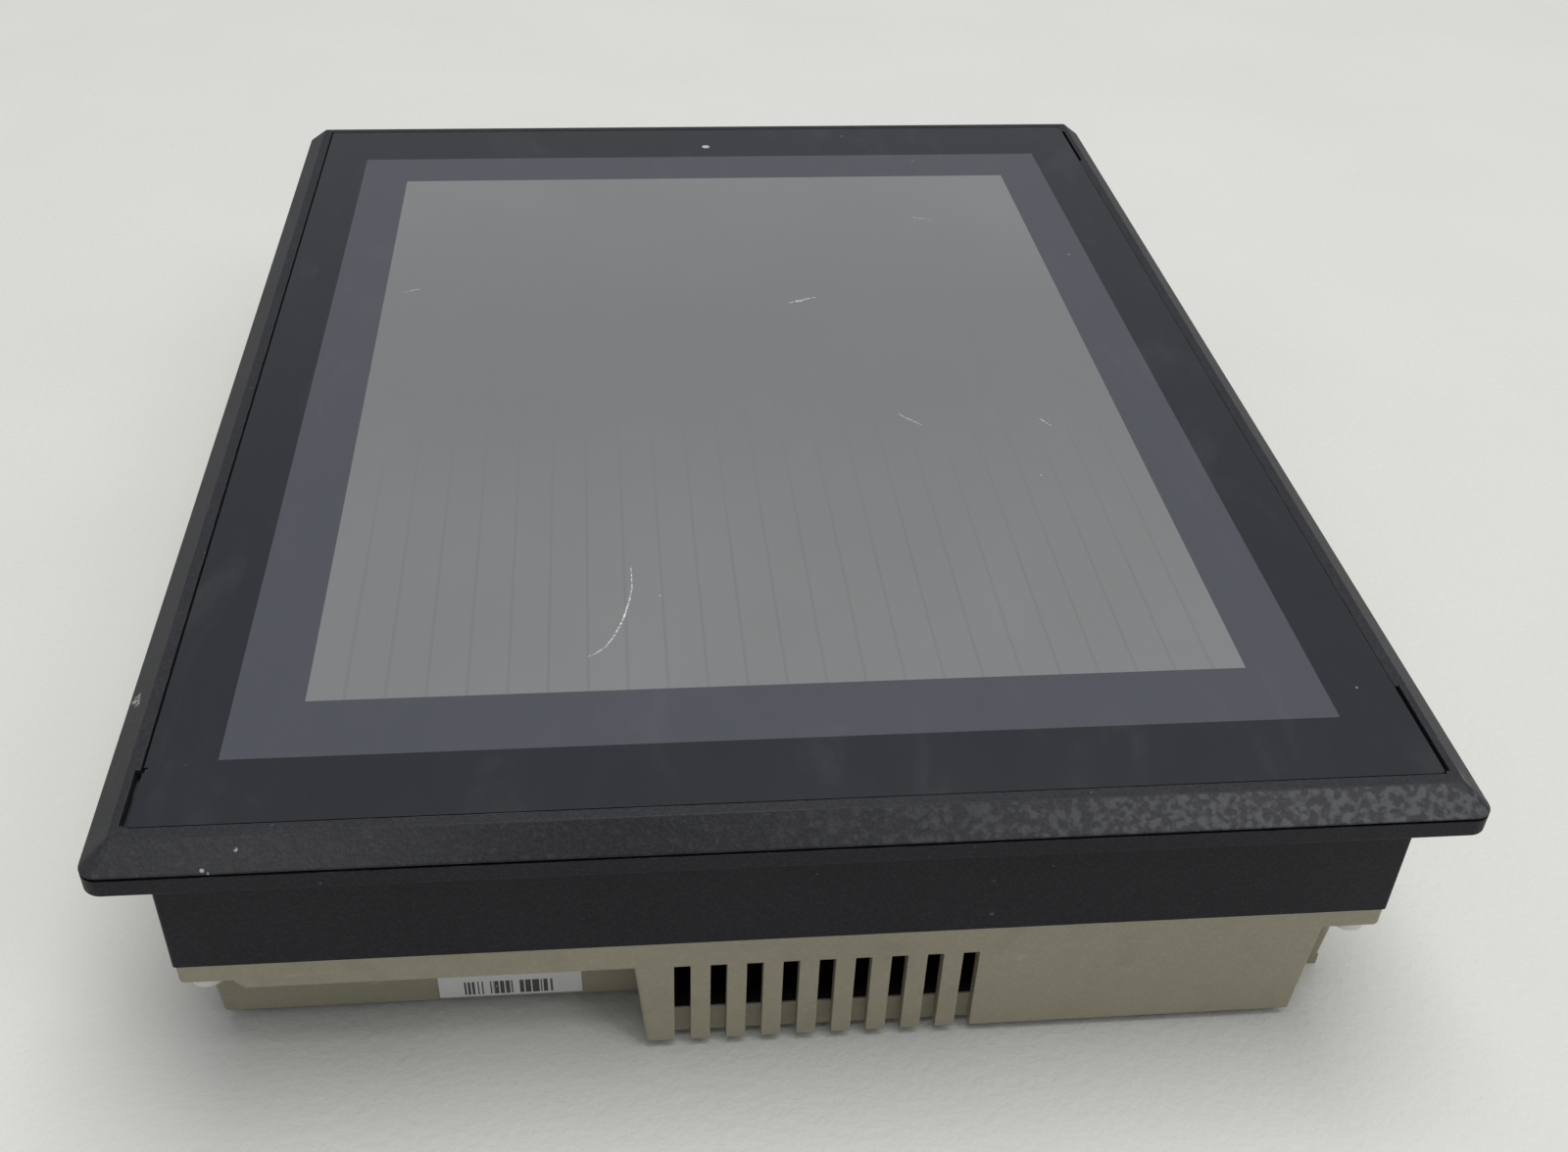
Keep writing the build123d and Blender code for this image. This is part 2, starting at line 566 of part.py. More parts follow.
with BuildPart() as inverter_transformers:
    for x in (-36.0, 8.0):
        slab(x, x + 24.0, -92.0, -76.0, INVERTER_BACK - 2.0, INVERTER_BACK)
        rod_along_x(x + 2.0, x + 22.0, -84.0, INVERTER_BACK - 6.5, 4.6)
        for flange in (x, x + 11.0, x + 22.0):
            slab(flange, flange + 2.0, -90.5, -77.5, INVERTER_BACK - 12.5, INVERTER_BACK - 1.5)
inverter_transformers.part.label = "inverter_transformers"
export_step(inverter_transformers.part, "parts/inverter_transformers.step")

# ---------------------------------------------------------------- main board
standoff_places = [(-68.0, -58.0), (-68.0, 54.0), (18.0, 93.0), (30.0, -58.0), (36.0, 60.0)]
with BuildPart() as main_board:
    with BuildSketch(Plane.XY.offset(BOARD_BACK)):
        with Locations(((BOARD_LEFT + BOARD_RIGHT) / 2, (BOARD_NEAR + BOARD_FAR) / 2)):
            RectangleRounded(BOARD_RIGHT - BOARD_LEFT, BOARD_FAR - BOARD_NEAR, 1.5)
        with Locations(*standoff_places):
            Circle(1.6, mode=Mode.SUBTRACT)
    extrude(amount=BOARD)
main_board.part.label = "main_board"
export_step(main_board.part, "parts/main_board.step")

with BuildPart() as board_standoffs:
    for x, y in standoff_places:
        with BuildSketch(Plane.XY.offset(BOARD_FRONT)):
            with Locations((x, y)):
                RegularPolygon(3.0, 6)
                Circle(1.25, mode=Mode.SUBTRACT)
    extrude(amount=CHASSIS_BACK - BOARD_FRONT)
board_standoffs.part.label = "board_standoffs"
export_step(board_standoffs.part, "parts/board_standoffs.step")

with BuildPart() as board_screws:
    for x, y in standoff_places:
        pan_screw(x, y, BOARD_BACK, 6.0)
board_screws.part.label = "board_screws"
export_step(board_screws.part, "parts/board_screws.step")

with BuildPart() as board_chips:
    # (x, y, width, length, height) of each package on the component side
    for x, y, width, length, height in (
        (-48.0, -30.0, 27.0, 27.0, 2.6),
        (-12.0, -48.0, 22.4, 12.0, 1.2),
        (-12.0, -30.0, 22.4, 12.0, 1.2),
        (-52.0, 18.0, 20.0, 20.0, 1.6),
        (44.0, 2.0, 10.0, 7.6, 2.0),
    ):
        slab(x - width / 2, x + width / 2, y - length / 2, y + length / 2,
             BOARD_BACK - height, BOARD_BACK)
board_chips.part.label = "board_chips"
export_step(board_chips.part, "parts/board_chips.step")

with BuildPart() as heat_sink:
    slab(-63.0, -33.0, -45.0, -15.0, BOARD_BACK - 5.1, BOARD_BACK - 2.6)
    for fin in range(8):
        x = -63.0 + fin * 4.1
        slab(x, x + 1.3, -45.0, -15.0, 7.5, BOARD_BACK - 2.6)
heat_sink.part.label = "heat_sink"
export_step(heat_sink.part, "parts/heat_sink.step")

with BuildPart() as board_capacitors:
    for x, y in ((38.0, -44.0), (38.0, -30.0), (24.0, -44.0), (-66.0, 36.0)):
        post(x, y, BOARD_BACK - 11.0, BOARD_BACK, 4.0)
board_capacitors.part.label = "board_capacitors"
export_step(board_capacitors.part, "parts/board_capacitors.step")

with BuildPart() as board_connectors:
    # touch tail, display cable, and the lead of the inverter, on the front side
    slab(TAIL_X - 8.0, TAIL_X + 8.0, 91.0, 95.5, BOARD_FRONT, BOARD_FRONT + 4.0)
    slab(-13.0, 13.0, 27.5, 32.5, BOARD_FRONT, BOARD_FRONT + 4.0)
    slab(-60.0, -45.0, BOARD_NEAR + 1.0, BOARD_NEAR + 7.0, BOARD_FRONT, BOARD_FRONT + 5.0)
board_connectors.part.label = "board_connectors"
export_step(board_connectors.part, "parts/board_connectors.step")

with BuildPart() as buzzer:
    post(-20.0, 60.0, BOARD_BACK - 7.0, BOARD_BACK, 6.0)
    post(-20.0, 60.0, BOARD_BACK - 7.0, BOARD_BACK - 6.0, 1.2, mode=Mode.SUBTRACT)
    fillet(buzzer.faces().sort_by(Axis.Z)[0].outer_wire().edges(), radius=0.6)
buzzer.part.label = "buzzer"
export_step(buzzer.part, "parts/buzzer.step")

EXPANSION_X = 18.0
with BuildPart() as expansion_socket:
    slab(EXPANSION_X - 4.0, EXPANSION_X + 4.0, -26.0, 26.0, BOARD_BACK - 8.0, BOARD_BACK)
    slab(EXPANSION_X - 1.6, EXPANSION_X + 1.6, -23.0, 23.0,
         BOARD_BACK - 8.0, BOARD_BACK - 2.0, mode=Mode.SUBTRACT)
expansion_socket.part.label = "expansion_socket"
export_step(expansion_socket.part, "parts/expansion_socket.step")

# ---------------------------------------------------------------- rear case
WELL_WALL = 1.4
SWITCH_WELL_TOP = 15.6
SWITCH_WELL_X = 10.6
SWITCH_WELL_Y = 7.6
BATTERY_WELL_TOP = 18.6
BATTERY_Z = 10.2
BATTERY_X = (BATTERY_DOOR_LEFT + BATTERY_DOOR_RIGHT) / 2
HINGE_X = BATTERY_DOOR_RIGHT - DOOR_GAP - KNUCKLE_RADIUS
HINGE_Z = BACK + KNUCKLE_RADIUS
CARD_HINGE_Y = BOX_END - KNUCKLE_RADIUS
CARD_HINGE_Z = CARD_DOOR_LOW + DOOR_GAP + KNUCKLE_RADIUS


def is_outline(edge):
    """True for the outer edges of the rim's rear face, of the rear face, and of the boxes' corners."""
    middle = edge.center()
    at_back = abs(middle.Z - BACK) < 0.01
    outside = abs(middle.X) > STRIP_WIDTH / 2 - 0.2 or abs(middle.Y) > BOX_END - 0.2
    at_strip = outside and min(abs(middle.Z - STRIP_BOTTOM), abs(middle.Z - DEEP_STRIP_BOTTOM)) < 0.01
    box_corner = abs(middle.Y) > BOX_END - 0.01 and BACK < middle.Z < DEEP_STRIP_BOTTOM
    return at_back or at_strip or box_corner


with BuildPart() as rear_case:
    # rim that meets the skirt of the front case, deeper along part of the near side
    with BuildSketch(Plane.XY.offset(STRIP_BOTTOM)):
        RectangleRounded(STRIP_WIDTH, BODY_LENGTH, STRIP_RADIUS)
    extrude(amount=SKIRT_BOTTOM - STRIP_BOTTOM)
    with BuildSketch(Plane.XZ.offset(BLOCK_END - 1.0)):
        with BuildLine():
            Polyline((DEEP_STRIP_LEFT - DEEP_STRIP_STEP, STRIP_BOTTOM),
                     (DEEP_STRIP_LEFT, DEEP_STRIP_BOTTOM),
                     (VENT_BOX_LEFT + 1.0, DEEP_STRIP_BOTTOM),
                     (VENT_BOX_LEFT + 1.0, STRIP_BOTTOM), close=True)
        make_face()
    extrude(amount=BOX_END - BLOCK_END + 1.0)
    # deep block with leaning sides
    with BuildSketch(Plane.XY.offset(STRIP_BOTTOM)):
        with Locations(((BLOCK_LEFT + BLOCK_RIGHT) / 2, 0)):
            RectangleRounded(BLOCK_RIGHT - BLOCK_LEFT, 2 * BLOCK_END, BLOCK_RADIUS)
    with BuildSketch(Plane.XY.offset(BACK)):
        with Locations(((BLOCK_LEFT + BLOCK_RIGHT) / 2, 0)):
            RectangleRounded(BLOCK_RIGHT - BLOCK_LEFT - 2 * BLOCK_DRAFT,
                             2 * (BLOCK_END - BLOCK_DRAFT), BLOCK_RADIUS)
    loft()
    # ventilated box on the near side
    with BuildSketch(Plane.XY.offset(STRIP_BOTTOM)):
        with BuildLine():
            Polyline((VENT_BOX_LEFT, -BOX_END), (VENT_BOX_RIGHT, -BOX_END),
                     (VENT_BOX_RIGHT, -95.0), (VENT_BOX_LEFT, -95.0), close=True)
        make_face()
    with BuildSketch(Plane.XY.offset(BOX_BACK)):
        with BuildLine():
            Polyline((VENT_BOX_LEFT + VENT_BOX_LEFT_DRAFT, -BOX_END),
                     (VENT_BOX_RIGHT - VENT_BOX_RIGHT_DRAFT, -BOX_END),
                     (VENT_BOX_RIGHT - VENT_BOX_RIGHT_DRAFT, -95.0),
                     (VENT_BOX_LEFT + VENT_BOX_LEFT_DRAFT, -95.0), close=True)
        make_face()
    loft()
    # box with the card door on the far side
    with BuildSketch(Plane.XY.offset(STRIP_BOTTOM)):
        with BuildLine():
            Polyline((FAR_BOX_LEFT, BOX_END), (VENT_BOX_RIGHT, BOX_END),
                     (VENT_BOX_RIGHT, 95.0), (FAR_BOX_LEFT, 95.0), close=True)
        make_face()
    with BuildSketch(Plane.XY.offset(BOX_BACK)):
        with BuildLine():
            Polyline((FAR_BOX_LEFT + 1.1, BOX_END), (VENT_BOX_RIGHT - 1.1, BOX_END),
                     (VENT_BOX_RIGHT - 1.1, 95.0), (FAR_BOX_LEFT + 1.1, 95.0), close=True)
        make_face()
    loft()
    # softened outer edges
    fillet(rear_case.edges().filter_by(is_outline), radius=EDGE_RADIUS)
    # rear pad
    with BuildSketch():
        with Locations((PAD_X, 0)):
            RectangleRounded(PAD_WIDTH, PAD_LENGTH, 4.0)
    extrude(amount=BACK)
    # inside of the block and of the two boxes
    slab(BLOCK_LEFT + 3.2, BAY_WALL_INNER, -BLOCK_INSIDE_END, BLOCK_INSIDE_END,
         BACK + BACK_WALL, SKIRT_BOTTOM,
         mode=Mode.SUBTRACT)
    slab(50.0, BLOCK_RIGHT - 3.2, -BLOCK_INSIDE_END, BAY_NEAR - 2.2, BACK + BACK_WALL, SKIRT_BOTTOM,
         mode=Mode.SUBTRACT)
    slab(VENT_BOX_LEFT + 3.4, VENT_BOX_RIGHT - 3.4, BOX_WALL - BOX_END, -98.0,
         BOX_BACK + BOX_WALL, SKIRT_BOTTOM, mode=Mode.SUBTRACT)
    slab(FAR_BOX_LEFT + 3.0, VENT_BOX_RIGHT - 3.0, 98.0, BOX_END - BOX_WALL,
         BOX_BACK + BOX_WALL, SKIRT_BOTTOM, mode=Mode.SUBTRACT)
    # connector bay, open towards +X and the back
    slab(BAY_WALL_OUTER, BLOCK_RIGHT + 1.0, BAY_NEAR, BAY_FAR, -1.0, STRIP_BOTTOM,
         mode=Mode.SUBTRACT)
    slab(BAY_WALL_OUTER, BAY_LIP_INNER, BAY_NEAR, BAY_FAR, STRIP_BOTTOM - 1.0, BAY_ROOF,
         mode=Mode.SUBTRACT)
    # ventilation slots, with a sill behind the feet of the near ones
    slab(VENT_BOX_LEFT + BOX_WALL, VENT_BOX_RIGHT - BOX_WALL, BOX_WALL - BOX_END,
         BOX_WALL + SILL_WIDTH - BOX_END, BOX_BACK + 1.0, SILL_TOP)
    for x in near_slots:
        slab(x - SLOT_WIDTH / 2, x + SLOT_WIDTH / 2, -BOX_END - 1.0, BOX_WALL - BOX_END,
             BOX_BACK - 1.0, SLOT_TOP, mode=Mode.SUBTRACT)
    for x in far_slots:
        slab(x - SLOT_WIDTH / 2, x + SLOT_WIDTH / 2, BOX_END - 3.0, BOX_END + 1.0,
             BOX_BACK - 1.0, SLOT_TOP, mode=Mode.SUBTRACT)
    for y in side_slots:
        slab(BLOCK_LEFT - 1.0, BLOCK_LEFT + 4.0, y - SLOT_WIDTH / 2, y + SLOT_WIDTH / 2,
             5.0, 16.0, mode=Mode.SUBTRACT)
    # feet at the two ends of the connector bay
    for side in (-1, 1):
        slab(FOOT_LEFT, BLOCK_RIGHT - BLOCK_DRAFT, side * FOOT_END - FOOT_THICKNESS / 2,
             side * FOOT_END + FOOT_THICKNESS / 2, 0.0, BACK + 0.5)
    # opening behind the expansion cover, and the recess that holds it
    with BuildSketch():
        with Locations((PAD_X, 0)):
            RectangleRounded(COVER_WIDTH + 2 * COVER_GAP, COVER_LENGTH + 2 * COVER_GAP, 2.2)
    extrude(amount=BACK, mode=Mode.SUBTRACT)
    slab(PAD_X - 25.0, PAD_X + 25.0, -38.0, 38.0, BACK, BACK + BACK_WALL, mode=Mode.SUBTRACT)
    # battery compartment, with the recess and pin holes for its cover
    slab(BATTERY_DOOR_LEFT - WELL_WALL, BATTERY_DOOR_RIGHT + WELL_WALL, BATTERY_DOOR_NEAR - WELL_WALL,
         99.5, BACK + 1.0, BATTERY_WELL_TOP)
    slab(BATTERY_DOOR_LEFT + 1.0, BATTERY_DOOR_RIGHT, BATTERY_DOOR_NEAR + WELL_WALL,
         BATTERY_DOOR_FAR - WELL_WALL, BACK, BATTERY_WELL_TOP - WELL_WALL, mode=Mode.SUBTRACT)
    slab(BATTERY_DOOR_LEFT, BATTERY_DOOR_RIGHT, BATTERY_DOOR_NEAR, BATTERY_DOOR_FAR,
         BACK, BACK + DOOR_THICKNESS + 1.1, mode=Mode.SUBTRACT)
    rod_along_y(HINGE_X, BATTERY_DOOR_NEAR - PIN_LENGTH, BATTERY_DOOR_FAR + PIN_LENGTH, HINGE_Z,
                PIN_HOLE_RADIUS, mode=Mode.SUBTRACT)
    slab(BATTERY_DOOR_LEFT + 8.0, BATTERY_DOOR_LEFT + 16.0, BATTERY_DOOR_NEAR + 4.0,
         BATTERY_DOOR_NEAR + 8.0, BATTERY_WELL_TOP - 2.0, BATTERY_WELL_TOP, mode=Mode.SUBTRACT)
    # wells for the switches
    slab(DIP_X - SWITCH_WELL_X - WELL_WALL, DIP_X + SWITCH_WELL_X + WELL_WALL,
         DIP_Y - SWITCH_WELL_Y - WELL_WALL, DIP_Y + SWITCH_WELL_Y + WELL_WALL, BACK, SWITCH_WELL_TOP)
    slab(DIP_X - SWITCH_WELL_X, DIP_X + SWITCH_WELL_X, DIP_Y - SWITCH_WELL_Y, DIP_Y + SWITCH_WELL_Y,
         BACK, SWITCH_WELL_TOP, mode=Mode.SUBTRACT)
    post(RESET_X, RESET_Y, BACK, 12.0, RESET_RADIUS + 1.6)
    post(RESET_X, RESET_Y, BACK, 12.0, RESET_RADIUS + 0.15, mode=Mode.SUBTRACT)
    # inner wall and well behind the card door
    slab(CARD_DOOR_LEFT - 1.6, CARD_DOOR_RIGHT + 1.0, CARD_WALL_BACK, BOX_END - 1.0,
         BOX_BACK + 1.0, SKIRT_BOTTOM)
    slab(CARD_DOOR_LEFT, CARD_DOOR_RIGHT, CARD_WALL_FRONT, BOX_END + 1.0,
         CARD_DOOR_LOW, CARD_DOOR_HIGH, mode=Mode.SUBTRACT)
    slab(CARD_LEFT + 0.8, CARD_RIGHT - 0.8, CARD_WALL_BACK, CARD_WALL_FRONT, 14.9, 19.6,
         mode=Mode.SUBTRACT)
    slab(EJECT_X - 2.6, EJECT_X + 2.6, CARD_WALL_BACK, CARD_WALL_FRONT, 15.1, 19.3,
         mode=Mode.SUBTRACT)
    rod_along_x(CARD_DOOR_LEFT - PIN_LENGTH, CARD_DOOR_RIGHT + PIN_LENGTH, CARD_HINGE_Y,
                CARD_HINGE_Z, PIN_HOLE_RADIUS, mode=Mode.SUBTRACT)
    # openings for the sockets in the wall of the bay
    for y in (PORT_A_Y, PORT_B_Y):
        slab(BAY_WALL_INNER, BAY_WALL_OUTER, y - 9.9, y + 9.9, PORT_Z - 5.6, PORT_Z + 5.6,
             mode=Mode.SUBTRACT)
        for side in (-JACKSCREW_OFFSET, JACKSCREW_OFFSET):
            rod_along_x(BAY_WALL_INNER, BAY_WALL_OUTER, y + side, PORT_Z, JACKSCREW_RADIUS + 0.3,
                        mode=Mode.SUBTRACT)
    slab(BAY_WALL_INNER, BAY_WALL_OUTER, NETWORK_Y - 8.2, NETWORK_Y + 8.2, 6.6, 20.6,
         mode=Mode.SUBTRACT)
    slab(BAY_WALL_INNER, BAY_WALL_OUTER, HOST_Y - 7.2, HOST_Y + 7.2, 13.0, 20.6,
         mode=Mode.SUBTRACT)
    slab(BAY_WALL_INNER, BAY_WALL_OUTER, SLAVE_Y - 6.4, SLAVE_Y + 6.4, 9.2, 20.6,
         mode=Mode.SUBTRACT)
    slab(BAY_WALL_INNER, BAY_WALL_OUTER, POWER_Y - 14.5, POWER_Y + 14.5, 8.6, 20.6,
         mode=Mode.SUBTRACT)
    # ribs between the sockets
    for y in (-33.5, 1.0, 35.4):
        slab(BAY_WALL_OUTER, 74.0, y - 0.8, y + 0.8, 16.0, BAY_ROOF)
    # locating lip inside the skirt, left out at the corners
    for side in (-1, 1):
        slab(side * 79.05 - 0.6, side * 79.05 + 0.6, -90.0, 90.0, SKIRT_BOTTOM, SKIRT_BOTTOM + 2.0)
        slab(-65.0, 65.0, side * 106.55 - 0.6, side * 106.55 + 0.6, SKIRT_BOTTOM, SKIRT_BOTTOM + 2.0)
    # holes for the corner screws
    for x, y in corner_screw_places:
        post(x, y, STRIP_BOTTOM, SKIRT_BOTTOM, SCREW_THREAD / 2 + 0.1, mode=Mode.SUBTRACT)
rear_case.part.label = "rear_case"
export_step(rear_case.part, "parts/rear_case.step")

with BuildPart() as case_screws:
    for x, y in corner_screw_places:
        pan_screw(x, y, STRIP_BOTTOM, CORNER_SHANK)
case_screws.part.label = "case_screws"
export_step(case_screws.part, "parts/case_screws.step")

with BuildPart() as expansion_cover:
    with BuildSketch():
        with Locations((PAD_X, 0)):
            RectangleRounded(COVER_WIDTH, COVER_LENGTH, 2.0)
    extrude(amount=BACK)
    # snap hooks through the opening
    for side in (-1, 1):
        for y in (-24.0, 24.0):
            slab(PAD_X + side * 24.3 - 0.6, PAD_X + side * 24.3 + 0.6, y - 4.0, y + 4.0, BACK, 6.0)
    # finger notch at the far end
    with Locations((PAD_X, COVER_LENGTH / 2 - 6.0, 0)):
        Cylinder(7.0, 1.0, align=(Align.CENTER, Align.CENTER, Align.CENTER), mode=Mode.SUBTRACT)
expansion_cover.part.label = "expansion_cover"
export_step(expansion_cover.part, "parts/expansion_cover.step")

# ---------------------------------------------------------------- battery
BATTERY_NEAR = 68.5
BATTERY_FAR = 93.5
BATTERY_RADIUS = 5.6
BATTERY_TIP = 0.7
BATTERY_TIP_RADIUS = 2.2
CLIP_HALF = 7.0
CLIP_NEAR = 74.0
CLIP_FAR = 88.0
with BuildPart() as battery_cover:
    slab(BATTERY_DOOR_LEFT + DOOR_GAP, HINGE_X, BATTERY_DOOR_NEAR + DOOR_GAP,
         BATTERY_DOOR_FAR - DOOR_GAP, BACK, BACK + DOOR_THICKNESS)
    rod_along_y(HINGE_X, BATTERY_DOOR_NEAR + DOOR_GAP, BATTERY_DOOR_FAR - DOOR_GAP, HINGE_Z,
                KNUCKLE_RADIUS)
    rod_along_y(HINGE_X, BATTERY_DOOR_NEAR - PIN_LENGTH + DOOR_GAP,
                BATTERY_DOOR_FAR + PIN_LENGTH - DOOR_GAP, HINGE_Z, PIN_RADIUS)
    # grip grooves at the free edge
    for rib in range(4):
        slab(BATTERY_DOOR_LEFT + 3.0 + 1.6 * rib, BATTERY_DOOR_LEFT + 3.8 + 1.6 * rib,
             76.0, 86.0, BACK, BACK + 0.5, mode=Mode.SUBTRACT)
battery_cover.part.label = "battery_cover"
export_step(battery_cover.part, "parts/battery_cover.step")

with BuildPart() as battery:
    rod_along_y(BATTERY_X, BATTERY_NEAR, BATTERY_FAR, BATTERY_Z, BATTERY_RADIUS)
    fillet(battery.edges(), radius=0.5)
    rod_along_y(BATTERY_X, BATTERY_FAR - 0.5, BATTERY_FAR + BATTERY_TIP, BATTERY_Z, BATTERY_TIP_RADIUS)
battery.part.label = "battery"
export_step(battery.part, "parts/battery.step")

with BuildPart() as battery_clip:
    slab(BATTERY_X - CLIP_HALF, BATTERY_X + CLIP_HALF, CLIP_NEAR, CLIP_FAR,
         BATTERY_Z + BATTERY_RADIUS, BATTERY_WELL_TOP - WELL_WALL)
    for side in (-1, 1):
        finger = BATTERY_X + side * (CLIP_HALF - 0.6)
        slab(finger - 0.6, finger + 0.6, CLIP_NEAR + 2.0, CLIP_FAR - 2.0,
             BATTERY_Z - 2.0, BATTERY_Z + 6.0)
battery_clip.part.label = "battery_clip"
export_step(battery_clip.part, "parts/battery_clip.step")

# ---------------------------------------------------------------- memory card
with BuildPart() as card_socket:
    slab(CARD_LEFT, CARD_RIGHT, 70.0, CARD_WALL_BACK - 0.1, 14.0, BOARD_BACK)
    slab(CARD_LEFT + 1.4, CARD_RIGHT - 1.4, 76.0, CARD_WALL_BACK - 0.1, 15.3, 19.0,
         mode=Mode.SUBTRACT)
card_socket.part.label = "card_socket"
export_step(card_socket.part, "parts/card_socket.step")

EJECT_FACE = 107.4
with BuildPart() as eject_button:
    slab(EJECT_X - 2.4, EJECT_X + 2.4, 99.0, EJECT_FACE, 15.3, 19.1)
    fillet(eject_button.faces().sort_by(Axis.Y)[-1].edges(), radius=0.4)
    slab(EJECT_X - 1.2, EJECT_X + 1.2, 84.0, 99.0, 16.2, 18.2)
    # collar that stops it behind the inner wall
    slab(EJECT_X - 3.4, EJECT_X + 3.4, 101.6, CARD_WALL_BACK - 0.1, 14.6, 19.8)
eject_button.part.label = "eject_button"
export_step(eject_button.part, "parts/eject_button.step")

with BuildPart() as card_door:
    slab(CARD_DOOR_LEFT + DOOR_GAP, CARD_DOOR_RIGHT - DOOR_GAP, BOX_END - DOOR_THICKNESS, BOX_END,
         CARD_HINGE_Z, CARD_DOOR_HIGH - DOOR_GAP)
    rod_along_x(CARD_DOOR_LEFT + DOOR_GAP, CARD_DOOR_RIGHT - DOOR_GAP, CARD_HINGE_Y, CARD_HINGE_Z,
                KNUCKLE_RADIUS)
    rod_along_x(CARD_DOOR_LEFT - PIN_LENGTH + DOOR_GAP, CARD_DOOR_RIGHT + PIN_LENGTH - DOOR_GAP,
                CARD_HINGE_Y, CARD_HINGE_Z, PIN_RADIUS)
    # finger groove along the free edge
    slab(-22.0, -4.0, BOX_END - 0.7, BOX_END, CARD_DOOR_HIGH - 2.4, CARD_DOOR_HIGH - 1.2,
         mode=Mode.SUBTRACT)
card_door.part.label = "card_door"
export_step(card_door.part, "parts/card_door.step")

# ---------------------------------------------------------------- switches
DIP_BODY_BACK = BOARD_BACK - 4.6
LEVER_TRAVEL = 1.8
LEVER_WIDTH = 1.0
LEVER_LENGTH = 1.2
with BuildPart() as dip_switch_body:
    half = DIP_COUNT * DIP_PITCH / 2 + 1.0
    slab(DIP_X - half, DIP_X + half, DIP_Y - 4.8, DIP_Y + 4.8, DIP_BODY_BACK, BOARD_BACK)
    for lever in range(DIP_COUNT):
        x = DIP_X + DIP_PITCH * (lever - (DIP_COUNT - 1) / 2)
        slab(x - 0.65, x + 0.65, DIP_Y - 1.7, DIP_Y + 1.7,
             DIP_BODY_BACK, DIP_BODY_BACK + 2.0, mode=Mode.SUBTRACT)
dip_switch_body.part.label = "dip_switch_body"
export_step(dip_switch_body.part, "parts/dip_switch_body.step")

for lever in range(DIP_COUNT):
    x = DIP_X + DIP_PITCH * (lever - (DIP_COUNT - 1) / 2)
    y = DIP_Y - LEVER_TRAVEL / 2 - LEVER_LENGTH / 2
    with BuildPart() as dip_lever:
        slab(x - LEVER_WIDTH / 2, x + LEVER_WIDTH / 2, y, y + LEVER_LENGTH,
             DIP_BODY_BACK - 0.7, DIP_BODY_BACK + 1.9)
    dip_lever.part.label = f"dip_lever_{lever + 1}"
    export_step(dip_lever.part, f"parts/dip_lever_{lever + 1}.step")

RESET_TRAVEL = 0.8
RESET_SWITCH_BACK = BOARD_BACK - 4.0
with BuildPart() as reset_button:
    post(RESET_X, RESET_Y, BACK + 0.4, RESET_SWITCH_BACK - RESET_TRAVEL - 0.2, RESET_RADIUS)
    fillet(reset_button.faces().sort_by(Axis.Z)[0].edges(), radius=0.4)
    # collar that keeps it behind the rear face
    post(RESET_X, RESET_Y, 12.2, 13.4, RESET_RADIUS + 1.2)
reset_button.part.label = "reset_button"
export_step(reset_button.part, "parts/reset_button.step")

with BuildPart() as reset_switch:
    slab(RESET_X - 3.0, RESET_X + 3.0, RESET_Y - 3.0, RESET_Y + 3.0, RESET_SWITCH_BACK, BOARD_BACK)
reset_switch.part.label = "reset_switch"
export_step(reset_switch.part, "parts/reset_switch.step")

# ---------------------------------------------------------------- sockets in the bay
for port_name, port_y in (("serial_port_a", PORT_A_Y), ("serial_port_b", PORT_B_Y)):
    with BuildPart() as serial_port:
        # body on the board, and the flange behind the wall
        slab(PORT_REAR, PORT_FLANGE_REAR, port_y - PORT_HALF, port_y + PORT_HALF, PORT_Z - 5.0, BOARD_BACK)
        slab(PORT_FLANGE_REAR, BAY_WALL_INNER, port_y - PORT_HALF, port_y + PORT_HALF,
             PORT_Z - 6.2, PORT_Z + 6.2)
        # shell in the shape of a D
        with BuildSketch(Plane.YZ.offset(BAY_WALL_INNER)):
            with BuildLine():
                Polyline((port_y - 9.2, PORT_Z + 4.6), (port_y + 9.2, PORT_Z + 4.6),
                         (port_y + 7.7, PORT_Z - 4.6), (port_y - 7.7, PORT_Z - 4.6), close=True)
            make_face()
            fillet(vertices(), radius=1.8)
        extrude(amount=SHELL_LENGTH)
        # contact holes
        for count, z in ((5, PORT_Z + CONTACT_ROW), (4, PORT_Z - CONTACT_ROW)):
            for pin in range(count):
                y = port_y + CONTACT_PITCH * (pin - (count - 1) / 2)
                rod_along_x(BAY_WALL_OUTER, BAY_WALL_INNER + SHELL_LENGTH, y, z, CONTACT_HOLE, mode=Mode.SUBTRACT)
        for side in (-JACKSCREW_OFFSET, JACKSCREW_OFFSET):
            rod_along_x(55.0, BAY_WALL_INNER, port_y + side, PORT_Z, JACKSCREW_RADIUS, mode=Mode.SUBTRACT)
    serial_port.part.label = port_name
    export_step(serial_port.part, f"parts/{port_name}.step")

